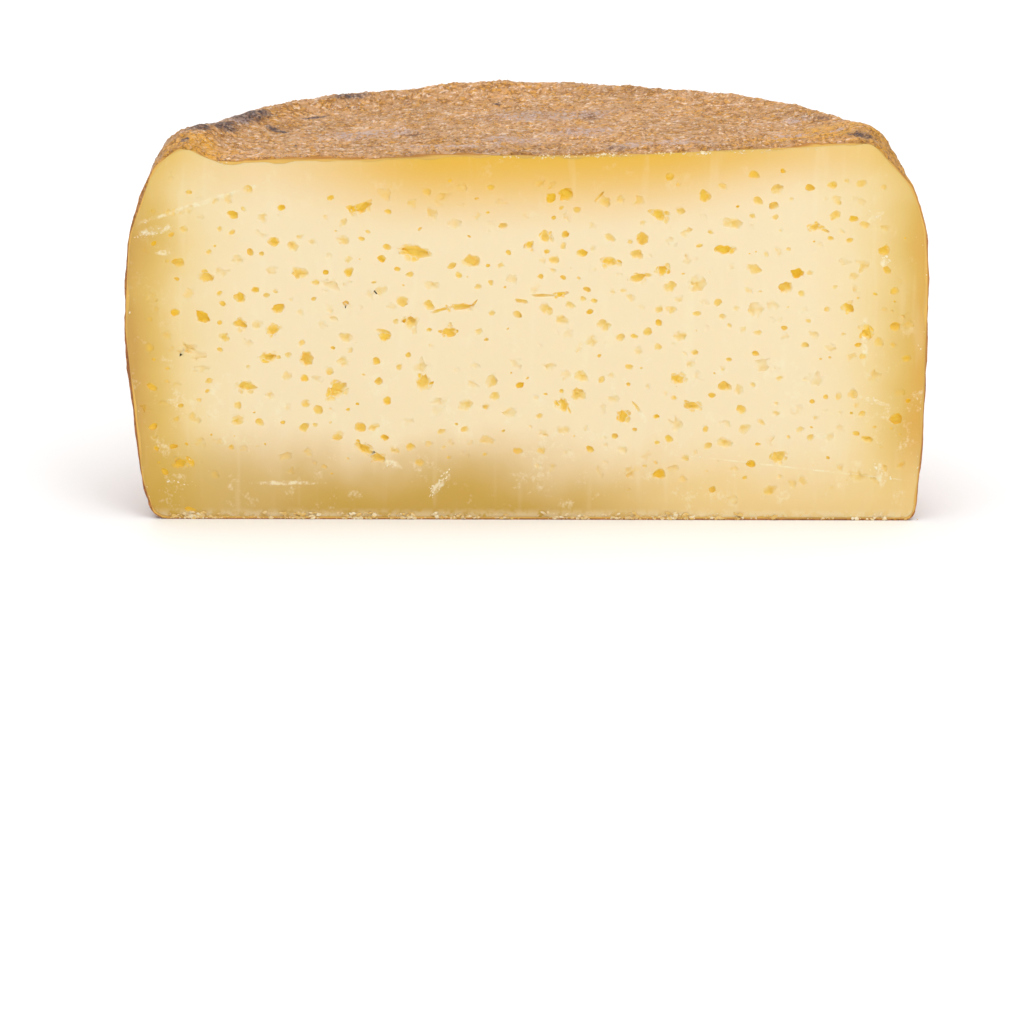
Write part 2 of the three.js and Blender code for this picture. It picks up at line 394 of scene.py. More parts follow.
def top_height(radius, angle):
    """A sloping plane that curls up near the rim and is level again where it meets it."""
    outward = radius / RIM_RADIUS
    curl = outward**LIP_POWER * (1 + LIP_POWER * (1 - outward))
    return TOP_HEIGHT + TOP_SLOPE * radius * np.cos(angle) + around_rind(LIP_HEIGHT, angle) * curl


def side_radius(level, angle):
    """The wheel's radius at a level above the rounding of its heel."""
    heel = around_rind(HEEL_RADIUS, angle)
    start = around_rind(HEEL_ROUNDING, angle)
    rise = np.clip((level - start) / (BELLY_HEIGHT - start), 0, 1)
    flank = heel + (BELLY_RADIUS - heel) * np.sin(rise * np.pi / 2) ** FLANK_POWER
    rim = top_height(RIM_RADIUS, angle)
    climb = np.clip((level - BELLY_HEIGHT) / (rim - BELLY_HEIGHT), 0, 1)
    power = around_rind(SHOULDER_POWER, angle)
    inward = (1 - climb**power) ** (1 / power)
    return np.where(level <= BELLY_HEIGHT, flank, RIM_RADIUS + SHOULDER_WIDTH * inward)


def side_outline(angle, heel_steps, flank_steps, shoulder_steps):
    """Radius and level of the side in rows from the edge of the base up to just below the rim."""
    heel = around_rind(HEEL_RADIUS, angle)
    rounding = around_rind(HEEL_ROUNDING, angle)
    rows = []
    for turn in np.linspace(0, np.pi / 2, heel_steps, endpoint=False):
        rows.append((heel - rounding * (1 - np.sin(turn)), rounding * (1 - np.cos(turn))))
    for share in np.linspace(0, 1, flank_steps, endpoint=False):
        level = lerp(rounding, BELLY_HEIGHT, share)
        rows.append((side_radius(level, angle), level))
    rim = top_height(RIM_RADIUS, angle)
    power = around_rind(SHOULDER_POWER, angle)
    for turn in np.linspace(0, np.pi / 2, shoulder_steps, endpoint=False):
        level = lerp(BELLY_HEIGHT, rim, np.sin(turn) ** (2 / power))
        rows.append((RIM_RADIUS + SHOULDER_WIDTH * np.cos(turn) ** (2 / power), level))
    return rows


def lump_waves():
    draws = Draws(LUMP_SEED)
    waves = []
    for _ in range(LUMP_WAVES):
        length = draws.between(*LUMP_LENGTH)
        compass = draws.next() * math.tau
        climb = draws.next() * 2 - 1
        flat = math.sqrt(1 - climb * climb)
        direction = np.array([flat * math.cos(compass), flat * math.sin(compass), climb])
        waves.append((direction * math.tau / length, draws.next() * math.tau))
    return waves


def relief(points):
    """How far the rind stands out at each point, negative where it has sunk."""
    height = np.zeros(len(points))
    for direction, phase in lump_waves():
        height += LUMP_HEIGHT * np.sin(points @ direction + phase)
    for middle, peak, reach in SWELLINGS:
        distance = np.linalg.norm(points - np.array(middle), axis=1)
        height += peak * np.exp(-((distance / reach) ** 2))
    return height * smoothstep(points[:, 2], 0, LUMPS_START_ABOVE_BASE)


def edge_waves(points):
    """How much thicker the rind is at each point, from 0 to 1, uneven along the cut only."""
    draws = Draws(EDGE_SEED)
    waves = np.zeros(len(points))
    for _ in range(EDGE_WAVES):
        compass = draws.next() * math.tau
        along = points[:, 0] * math.cos(compass) + points[:, 2] * math.sin(compass)
        waves += np.sin(along * math.tau / draws.between(*EDGE_WAVE_LENGTH) + draws.next() * math.tau)
    return np.clip(waves / EDGE_WAVES**0.5, 0, 1) * (1 - smoothstep(points[:, 1], 0, EDGE_DEPTH))


def disc_grid(cells):
    """Radius share and angle of a grid of squares that is bent into half a disc."""
    across, back = np.meshgrid(np.arange(-cells, cells + 1), np.arange(cells + 1))
    reach = np.maximum(np.abs(across), back)
    wide = np.abs(across) > back
    safe = np.maximum(reach, 1)
    side_angle = np.where(across > 0, back / safe, 4 - back / safe) * np.pi / 4
    back_angle = (2 - across / safe) * np.pi / 4
    return reach / cells, np.where(wide, side_angle, back_angle)


def disc_edge(cells):
    """Places in the grid of disc_grid along its edge, from the right end to the left end."""
    width = 2 * cells + 1
    right = [row * width + 2 * cells for row in range(cells)]
    back = [cells * width + column for column in range(2 * cells, -1, -1)]
    left = [row * width for row in range(cells - 1, -1, -1)]
    return right + back + left


def outward_normals(points, quads):
    """The mean normal of the quads at each point."""
    diagonal_a = points[quads[:, 2]] - points[quads[:, 0]]
    diagonal_b = points[quads[:, 3]] - points[quads[:, 1]]
    faces = np.cross(diagonal_a, diagonal_b)
    normals = np.zeros_like(points)
    for corner in range(4):
        np.add.at(normals, quads[:, corner], faces)
    return normals / np.linalg.norm(normals, axis=1, keepdims=True)


def half_wheel(cells, side_steps, inset=0.0, reach=0.0):
    """The half as points, faces, outward directions and shares of flank.

    The rind lies inwards by inset, and the cut lies in front of the wheel's middle by reach.
    """
    share, angle = disc_grid(cells)
    radius = share.ravel() * RIM_RADIUS
    angle = angle.ravel()
    top = np.column_stack((radius * np.cos(angle), radius * np.sin(angle), top_height(radius, angle)))
    edge = disc_edge(cells)
    columns = len(edge)
    edge_angle = np.linspace(0, np.pi, columns)
    side = []
    for row_radius, row_level in side_outline(edge_angle, *side_steps):
        level = np.broadcast_to(row_level, edge_angle.shape)
        across = row_radius * np.cos(edge_angle)
        side.append(np.column_stack((across, row_radius * np.sin(edge_angle), level)))
    rows = len(side)
    points = np.vstack([top, *side])

    width = 2 * cells + 1
    corner = (np.arange(cells)[:, None] * width + np.arange(2 * cells)).ravel()
    quads = [np.column_stack((corner, corner + 1, corner + width + 1, corner + width))]
    ladder = [len(top) + row * columns + np.arange(columns) for row in range(rows)]
    ladder.append(np.array(edge))
    for below, above in zip(ladder, ladder[1:]):
        quads.append(np.column_stack((below[:-1], below[1:], above[1:], above[:-1])))
    quads = np.vstack(quads)

    outward = outward_normals(points, quads)
    on_cut = np.concatenate([np.arange(width), *[[line[0], line[-1]] for line in ladder[:-1]]])
    outward[on_cut, 1] = 0
    outward /= np.linalg.norm(outward, axis=1, keepdims=True)
    deeper = inset * (1 + EDGE_THICKENING * edge_waves(points))
    points = points + outward * (relief(points) - deeper)[:, None]
    points[on_cut, 1] = -reach

    base = ladder[0][::-1].tolist()
    right_side = [int(line[0]) for line in ladder[:-1]]
    left_side = [int(line[-1]) for line in ladder[-2::-1]]
    front = right_side + list(range(width - 1, -1, -1)) + left_side
    faces = quads.tolist() + [base, front]
    flank = np.concatenate([np.zeros(len(top)), np.repeat(np.linspace(1, 0, rows) ** 0.5, columns)])
    return points, faces, outward, flank


# ---- Meshes, node trees and pieces -----------------------------------------------------------


def make_object(name, points, faces=(), **attributes):
    """A mesh object from points in millimetres in the wheel's axes, with values at its points."""
    mesh = bpy.data.meshes.new(name)
    mesh.from_pydata((np.asarray(points) * MM + WHEEL_ORIGIN).tolist(), [], list(faces))
    for label, values in attributes.items():
        values = np.asarray(values, dtype=np.float32)
        kind, field = ("FLOAT", "value") if values.ndim == 1 else ("FLOAT_VECTOR", "vector")
        mesh.attributes.new(label, kind, "POINT").data.foreach_set(field, values.ravel())
    mesh.update()
    made = bpy.data.objects.new(name, mesh)
    bpy.context.collection.objects.link(made)
    return made


def new_tree(name, inputs):
    """A Geometry Nodes tree with a mesh in, a mesh out and the named inputs between them."""
    tree = bpy.data.node_groups.new(name, "GeometryNodeTree")
    tree.interface.new_socket("Geometry", in_out="INPUT", socket_type="NodeSocketGeometry")
    tree.interface.new_socket("Geometry", in_out="OUTPUT", socket_type="NodeSocketGeometry")
    for label, kind in inputs.items():
        tree.interface.new_socket(label, in_out="INPUT", socket_type=f"NodeSocket{kind}")
    return tree, tree.nodes.new("NodeGroupInput").outputs


def add_node(tree, kind, inputs=None, **settings):
    """A node with its settings. Each input, by name or number, is linked or set."""
    node = tree.nodes.new(kind)
    for label, value in settings.items():
        setattr(node, label, value)
    for place, value in (inputs or {}).items():
        if isinstance(value, bpy.types.NodeSocket):
            tree.links.new(value, node.inputs[place])
        else:
            node.inputs[place].default_value = value
    return node


def calculate(tree, operation, first, second=0.0, third=0.0):
    inputs = {0: first, 1: second, 2: third}
    return add_node(tree, "ShaderNodeMath", inputs, operation=operation).outputs[0]


def product(tree, first, *others):
    for other in others:
        first = calculate(tree, "MULTIPLY", first, other)
    return first


def total(tree, first, *others):
    for other in others:
        first = calculate(tree, "ADD", first, other)
    return first


def minus(tree, first, second):
    return calculate(tree, "SUBTRACT", first, second)


def largest(tree, first, second):
    return calculate(tree, "MAXIMUM", first, second)


def calculate_vector(tree, operation, first, second=(0.0, 0.0, 0.0)):
    inputs = {0: first, 1: second}
    return add_node(tree, "ShaderNodeVectorMath", inputs, operation=operation).outputs[0]


def split(tree, vector):
    """The parts of a vector by the names X, Y and Z."""
    return add_node(tree, "ShaderNodeSeparateXYZ", {0: vector}).outputs


def scaled(tree, vector, scale):
    inputs = {"Vector": vector, "Scale": scale}
    return add_node(tree, "ShaderNodeVectorMath", inputs, operation="SCALE").outputs[0]


def remap(tree, value, start, end, low=0.0, high=1.0):
    """The value from start to end as a smooth step from low to high."""
    inputs = {"Value": value, "From Min": start, "From Max": end, "To Min": low, "To Max": high}
    return add_node(tree, "ShaderNodeMapRange", inputs, interpolation_type="SMOOTHSTEP").outputs[0]


def remap_plain(tree, value, start, end):
    """The value from start to end as a straight line from 0 to 1."""
    inputs = {"Value": value, "From Min": start, "From Max": end}
    return add_node(tree, "ShaderNodeMapRange", inputs).outputs[0]


def length(tree, vector):
    return add_node(tree, "ShaderNodeVectorMath", {0: vector}, operation="LENGTH").outputs["Value"]


def squeezed_on_flank(tree, vector, flank, scale):
    """The vector as it is on the top, and scaled on the flank."""
    upright = calculate_vector(tree, "MULTIPLY", vector, scale)
    ways = {0: calculate(tree, "POWER", flank, FLANK_GRAIN_POWER), 4: vector, 5: upright}
    return add_node(tree, "ShaderNodeMix", ways, data_type="VECTOR").outputs[1]


def noise(tree, vector, scale, detail=2.0, roughness=0.5, distortion=0.0):
    inputs = {
        "Vector": vector,
        "Scale": scale,
        "Detail": detail,
        "Roughness": roughness,
        "Distortion": distortion,
    }
    return add_node(tree, "ShaderNodeTexNoise", inputs)


def named_value(tree, label, kind="FLOAT"):
    node = add_node(tree, "GeometryNodeInputNamedAttribute", {"Name": label}, data_type=kind)
    return node.outputs["Attribute"]


def store_value(tree, geometry, label, value):
    inputs = {"Geometry": geometry, "Name": label, "Value": value}
    node = add_node(tree, "GeometryNodeStoreNamedAttribute", inputs, data_type="FLOAT", domain="POINT")
    return node.outputs["Geometry"]


def move_points(tree, geometry, offset):
    inputs = {"Geometry": geometry, "Offset": offset}
    return add_node(tree, "GeometryNodeSetPosition", inputs).outputs["Geometry"]


def other_mesh(tree, piece):
    node = add_node(tree, "GeometryNodeObjectInfo", {"Object": piece}, transform_space="ORIGINAL")
    return node.outputs["Geometry"]


def cut_away(tree, mesh, cutter):
    inputs = {0: mesh, 1: cutter}
    node = add_node(tree, "GeometryNodeMeshBoolean", inputs, operation="DIFFERENCE", solver="MANIFOLD")
    return node.outputs["Mesh"]


def realize(tree, geometry):
    return add_node(tree, "GeometryNodeRealizeInstances", {"Geometry": geometry}).outputs[0]


def balls_at_points(tree, points, subdivisions, selection=True):
    """Balls that the points' own values turn and size."""
    ball = add_node(tree, "GeometryNodeMeshIcoSphere", {"Radius": 1.0, "Subdivisions": subdivisions})
    turn = named_value(tree, "turn", "FLOAT_VECTOR")
    inputs = {
        "Points": points,
        "Selection": selection,
        "Instance": ball.outputs["Mesh"],
        "Rotation": add_node(tree, "FunctionNodeEulerToRotation", {0: turn}).outputs[0],
        "Scale": named_value(tree, "semi_axes", "FLOAT_VECTOR"),
    }
    return add_node(tree, "GeometryNodeInstanceOnPoints", inputs).outputs[0]


def end_tree(tree, geometry, material):
    """Ends the tree in realized instances and a material."""
    inputs = {"Geometry": realize(tree, geometry), "Material": material}
    add_node(tree, "NodeGroupOutput", {0: add_node(tree, "GeometryNodeSetMaterial", inputs).outputs[0]})


def grow(name, base, tree, **inputs):
    """The plain mesh that the tree makes of the base, as a new object. The base is used up."""
    modifier = base.modifiers.new(tree.name, "NODES")
    modifier.node_group = tree
    sockets = {item.name: item.identifier for item in tree.interface.items_tree if item.in_out == "INPUT"}
    for label, value in inputs.items():
        modifier[sockets[label.replace("_", " ")]] = value
    graph = bpy.context.evaluated_depsgraph_get()
    mesh = bpy.data.meshes.new_from_object(
        base.evaluated_get(graph), preserve_all_data_layers=True, depsgraph=graph
    )
    mesh.name = name
    grown = bpy.data.objects.new(name, mesh)
    bpy.context.collection.objects.link(grown)
    discard(base)
    if not mesh.polygons:
        raise RuntimeError(f"{name} came out empty")
    return grown


def discard(*pieces):
    for piece in pieces:
        mesh = piece.data
        bpy.data.objects.remove(piece)
        bpy.data.meshes.remove(mesh)


def finish_piece(piece):
    """Smooths the piece and puts it on the body."""
    piece.data.shade_smooth()
    piece.data.set_sharp_from_angle(angle=math.radians(SHARP_ANGLE))
    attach(piece, BODY)


def make_core(name, inset):
    """What lies inside the rind, standing out in front of the cut."""
    steps = (CORE_HEEL_STEPS, CORE_FLANK_STEPS, CORE_SHOULDER_STEPS)
    points, faces, _, _ = half_wheel(CORE_CELLS, steps, inset, CORE_REACH)
    return make_object(name, points, faces)


# ---- Materials -------------------------------------------------------------------------------


def new_material(name):
    material = bpy.data.materials.new(name)
    material.use_nodes = True
    tree = material.node_tree
    return material, tree, tree.nodes["Principled BSDF"]


def blend(tree, factor, first, second):
    """The first colour where the factor is 0 and the second where it is 1."""
    inputs = {0: factor}
    for place, shade in ((6, first), (7, second)):
        inputs[place] = shade if isinstance(shade, bpy.types.NodeSocket) else (*shade, 1.0)
    return add_node(tree, "ShaderNodeMix", inputs, data_type="RGBA").outputs[2]


def set_surface(surface, values):
    for label, value in values.items():
        surface.inputs[label].default_value = value


def attribute(tree, label):
    return add_node(tree, "ShaderNodeAttribute", attribute_name=label).outputs["Fac"]


def place_on_wheel(point):
    """A point in millimetres in the wheel's axes as a place in the frame."""
    return tuple((np.asarray(point, dtype=float) * MM + WHEEL_ORIGIN).tolist())


def make_patch_group():
    """A soft-edged uneven patch: 1 in the middle of an ellipsoid and 0 outside it."""
    tree = bpy.data.node_groups.new("Patch", "ShaderNodeTree")
    sockets = {"Vector": "Vector", "Middle": "Vector", "Size": "Vector", "Turn": "Vector"}
    sockets |= {"Unevenness": "Float", "Grain": "Float"}
    for label, kind in sockets.items():
        tree.interface.new_socket(label, in_out="INPUT", socket_type=f"NodeSocket{kind}")
    tree.interface.new_socket("Mask", in_out="OUTPUT", socket_type="NodeSocketFloat")
    given = tree.nodes.new("NodeGroupInput").outputs
    ripple = noise(tree, given["Vector"], given["Grain"], detail=3.0, roughness=0.6)
    centred = calculate_vector(tree, "SUBTRACT", ripple.outputs["Color"], (0.5, 0.5, 0.5))
    shift = scaled(tree, centred, given["Unevenness"])
    away = calculate_vector(tree, "SUBTRACT", given["Vector"], given["Middle"])
    turned = add_node(
        tree,
        "ShaderNodeVectorRotate",
        {"Vector": away, "Rotation": given["Turn"]},
        rotation_type="EULER_XYZ",
    ).outputs[0]
    shares = calculate_vector(tree, "DIVIDE", turned, given["Size"])
    uneven = calculate_vector(tree, "ADD", shares, shift)
    add_node(tree, "NodeGroupOutput", {"Mask": remap(tree, length(tree, uneven), 1.1, 0.5)})
    return tree


def patch_group():
    """The shader group of the patches, built once."""
    return bpy.data.node_groups.get("Patch") or make_patch_group()


def patch(tree, group, vector, middle, size, turn, unevenness, grain):
    """The mask of one patch: its middle and half sizes in millimetres and its turn in degrees."""
    inputs = {
        "Vector": vector,
        "Middle": place_on_wheel(middle),
        "Size": tuple(value * MM for value in size),
        "Turn": tuple(math.radians(value) for value in turn),
        "Unevenness": unevenness,
        "Grain": grain,
    }
    return add_node(tree, "ShaderNodeGroup", inputs, node_tree=group).outputs["Mask"]


def patches(tree, group, vector, rows, unevenness, grain):
    """One mask for several patches."""
    mask = 0.0
    for row in rows:
        mask = largest(tree, mask, patch(tree, group, vector, *row, unevenness, grain))
    return mask


FLANK_GRAIN_POWER = 4.0
INNER_EDGE = colour(224, 178, 86)
RIND_SURFACE = {
    "Specular IOR Level": 0.45,
    "Subsurface Weight": 0.08,
    "Subsurface Radius": (1.0, 0.45, 0.15),
    "Subsurface Scale": 0.0015,
}
PASTE_SURFACE = {
    "Specular IOR Level": 0.4,
    "Subsurface Weight": 0.6,
    "Subsurface Radius": (1.0, 0.85, 0.6),
    "Subsurface Scale": 0.0006,
}

# Marks on the rind, and last the patches of painted glow: middle, half sizes and turn.
MOULD_PATCHES = (
    ((-82.5, 19, 95.5), (3.6, 5.5, 6), (0, 0, 20)),
    ((-78.0, 30, 95.5), (5.0, 8.0, 6), (0, 0, 25)),
    ((-71.5, 43, 95), (4.4, 8.5, 5), (0, 0, 38)),
    ((-64, 38, 92.5), (4.8, 1.2, 3), (0, 0, 32)),
    ((-55, 52.5, 93), (5.4, 0.9, 3), (0, 0, -39)),
    ((-85, 7, 95.5), (1.6, 2.2, 5), (0, 0, 0)),
    ((-58.2, 22, 91), (0.8, 1.2, 3), (0, 0, 0)),
    ((-55, 25.3, 91), (0.7, 1.1, 3), (0, 0, 0)),
    ((-46.5, 68.8, 95), (6.5, 2.2, 4), (0, 0, -32)),
    ((-8.2, 70, 93), (1.3, 1.8, 3), (0, 0, 0)),
    ((82, 5.6, 96), (5.0, 2.5, 5), (0, 0, 40)),
)
STAIN_PATCHES = (
    ((-30, 3.4, 92.5), (4.5, 2.2, 3), (0, 0, 0)),
    ((-14, 2.5, 93), (8.5, 2.6, 3), (0, 0, 5)),
    ((3.2, 3.2, 93), (5.5, 1.4, 3), (0, 0, 0)),
    ((21.5, 6.5, 93.5), (4.5, 3, 3), (0, 0, 12)),
    ((-42, 18, 92), (7, 3, 3), (0, 0, 0)),
    ((15.9, 46, 93.5), (3.4, 9, 3), (0, 0, 0)),
    ((-28, 30, 93), (5, 2.4, 3), (0, 0, 20)),
    ((74, 34, 95), (5, 3.4, 4), (0, 0, 62)),
)
BLOOM_PATCHES = (
    ((-20, 11, 93), (13, 3.6, 4), (0, 0, 12)),
    ((-4, 17, 93), (12, 6, 4), (0, 0, 14)),
    ((14, 27, 94), (10, 7, 4), (0, 0, 0)),
    ((32, 10, 94), (17, 5, 4), (0, 0, -4)),
    ((6, 52, 93), (20, 9, 4), (0, 0, 0)),
    ((-40, 33, 92), (15, 6, 4), (0, 0, -8)),
    ((66, 13, 95), (9, 3.5, 4), (0, 0, -6)),
    ((77, 12, 96), (3.0, 2.2, 4), (0, 0, -28)),
    ((68, 36, 95), (4, 5, 5), (0, 0, 30)),
    ((-74, 42, 96), (5, 9, 6), (0, 0, 30)),
    ((-96, 22, 52), (5, 3, 9), (0, 8, 0)),
    ((58, 78, 60), (12, 12, 9), (0, 0, 0)),
)
# Painted glow: golden rind at the corners by the cut, standing in for light shining through it and
# lightening the shoulder where it lies in shade.
GLOW_PATCHES = (
    ((-83, 5, 92), (9, 12, 9), (0, 0, -10)),
    ((87, 8, 88), (11, 20, 14), (0, 0, 0)),
    ((76, 14, 95), (13, 13, 7), (0, 0, 0)),
    ((64, 10, 94), (8, 7, 4), (0, 0, 0)),
    ((92, 6, 84), (12, 18, 14), (0, 0, 0)),
)


def rind_material(settings, group):
    """Wrinkled golden-brown rind, darker on the flank partly as painted shade, with painted highlights on
    the ridges, painted shade in the creases, bloom, mould, painted glow by the cut and a golden cut edge.
    """
    material, tree, surface = new_material("rind")
    place = tree.nodes.new("ShaderNodeTexCoord").outputs["Object"]
    wrinkle = attribute(tree, "wrinkle")
    skin = attribute(tree, "skin")
    flank = attribute(tree, "flank")
    way = squeezed_on_flank(tree, place, flank, (1.0, 1.0, 0.45))

    broad = noise(tree, place, 55.0, detail=3.0, roughness=0.55).outputs[0]
    mottle = noise(tree, way, 330.0, detail=4.0, roughness=0.65).outputs[0]
    fine = noise(tree, way, 700.0, detail=3.0, roughness=0.65).outputs[0]
    top = blend(tree, remap(tree, mottle, 0.4, 0.6), settings.tan, settings.ochre)
    # Painted highlight: the ridges of the top and the side are paler where the wrinkles stand up.
    ridge_highlight_share = product(tree, remap(tree, fine, 0.46, 0.56), remap(tree, wrinkle, 0.2, 0.9))
    top = blend(tree, ridge_highlight_share, top, settings.ridge_highlight)
    # The side's palette is darker than the top's: partly the side's own colour, partly painted shade.
    side = blend(tree, ridge_highlight_share, settings.flank, settings.flank_ridge_highlight)
    side = blend(tree, remap(tree, mottle, 0.52, 0.72), side, settings.glow)
    base = blend(tree, remap(tree, flank, 0.25, 0.85), top, side)
    # Painted glow in the glow patches.
    glow = patches(tree, group, place, GLOW_PATCHES, unevenness=0.9, grain=120.0)
    painted_glow = product(tree, glow, remap(tree, fine, 0.62, 0.42, 0.62, 1.0))
    base = blend(tree, painted_glow, base, settings.glow)
    # Painted shade: the fold lines and the low parts of the wrinkles are darkened.
    folds = noise(tree, way, 400.0, detail=2.0, roughness=0.6, distortion=0.3).outputs[0]
    off_fold = calculate(tree, "ABSOLUTE", calculate(tree, "MULTIPLY_ADD", folds, 2.0, -1.0))
    crease_shade_share = remap(tree, off_fold, 0.1, 0.01, 0.0, 0.72)
    crease_shade_share = largest(tree, crease_shade_share, remap(tree, wrinkle, 0.22, 0.0, 0.0, 0.6))
    crease_shade_share = product(tree, crease_shade_share, remap(tree, mottle, 0.36, 0.56))
    base = blend(tree, crease_shade_share, base, settings.crease_shade_and_specks)
    speck_share = product(tree, remap(tree, fine, 0.36, 0.27), 0.6)
    base = blend(tree, speck_share, base, settings.crease_shade_and_specks)

    # Rows of marks, their unevenness and grain, how the fine noise breaks them up, and their colour.
    marks = (
        (BLOOM_PATCHES, 1.6, 260.0, (0.42, 0.58, 0.05, 0.8), settings.bloom),
        (STAIN_PATCHES, 1.5, 420.0, (0.58, 0.38, 0.1, 0.85), settings.stain),
        (MOULD_PATCHES, 1.3, 520.0, (0.64, 0.4, 0.45, 1.0), settings.mould),
    )
    for rows, unevenness, grain, broken_up, shade in marks:
        mask = patches(tree, group, place, rows, unevenness, grain)
        base = blend(tree, product(tree, mask, remap(tree, fine, *broken_up)), base, shade)

    edge = blend(tree, remap(tree, skin, 0.3, 0.9), INNER_EDGE, settings.cut_edge)
    base = blend(tree, remap(tree, skin, 1.0, 0.97), base, edge)
    shade = remap(tree, broad, 0.3, 0.7, 0.94, 1.13)
    toned = add_node(tree, "ShaderNodeHueSaturation", {"Value": shade, "Color": base})
    tree.links.new(toned.outputs[0], surface.inputs["Base Color"])

    tree.links.new(remap(tree, mottle, 0.3, 0.7, 0.36, 0.56), surface.inputs["Roughness"])
    pores = add_node(tree, "ShaderNodeTexVoronoi", {"Vector": way, "Scale": 760.0}).outputs["Distance"]
    height = total(tree, fine, product(tree, pores, 0.5))
    height = total(tree, height, remap(tree, off_fold, 0.0, 0.2, 0.0, 0.35))
    uncut = remap(tree, skin, 0.97, 1.0)
    bump = add_node(tree, "ShaderNodeBump", {"Height": height, "Strength": uncut, "Distance": 0.0009})
    tree.links.new(bump.outputs[0], surface.inputs["Normal"])
    set_surface(surface, RIND_SURFACE)
    return material


# How the paste's colour changes from the rind to the middle of the face.
PASTE_STOPS = (
    (0.05, colour(219, 179, 92)),
    (0.12, colour(225, 190, 102)),
    (0.2, colour(233, 202, 126)),
    (0.3, colour(241, 216, 156)),
    (0.45, colour(245, 224, 178)),
    (0.68, colour(248, 228, 189)),
)

# Dry white marks on the cut face: middle, half sizes and turn.
DRY_PATCHES = (
    ((-81, 0, 81), (16, 3, 0.75), (0, 18, 0)),
    ((-92.5, 0, 74.2), (5.0, 3, 1.3), (0, 12, 0)),
    ((-90, 0, 68.5), (2.4, 3, 0.8), (0, 0, 0)),
    ((86, 0, 78), (2.4, 3, 0.8), (0, 30, 0)),
    ((88.5, 0, 66), (1.2, 3, 2.4), (0, 20, 0)),
    ((84, 0, 46), (1.0, 3, 7), (0, 0, 0)),
    ((86.5, 0, 31), (4.4, 3, 0.7), (0, -18, 0)),
    ((89, 0, 12), (1.6, 3, 3.4), (0, 0, 0)),
    ((68, 0, 13.6), (28, 3, 0.3), (0, -6.5, 0)),
    ((-21.8, 0, 9.4), (4.0, 3, 1.1), (0, 48, 0)),
    ((29, 0, 26.6), (2.0, 3, 0.7), (0, -50, 0)),
    ((-34, 0, 14.5), (2.6, 3, 1.0), (0, -25, 0)),
    ((-60, 0, 9.5), (9, 3, 0.7), (0, 0, 0)),
)


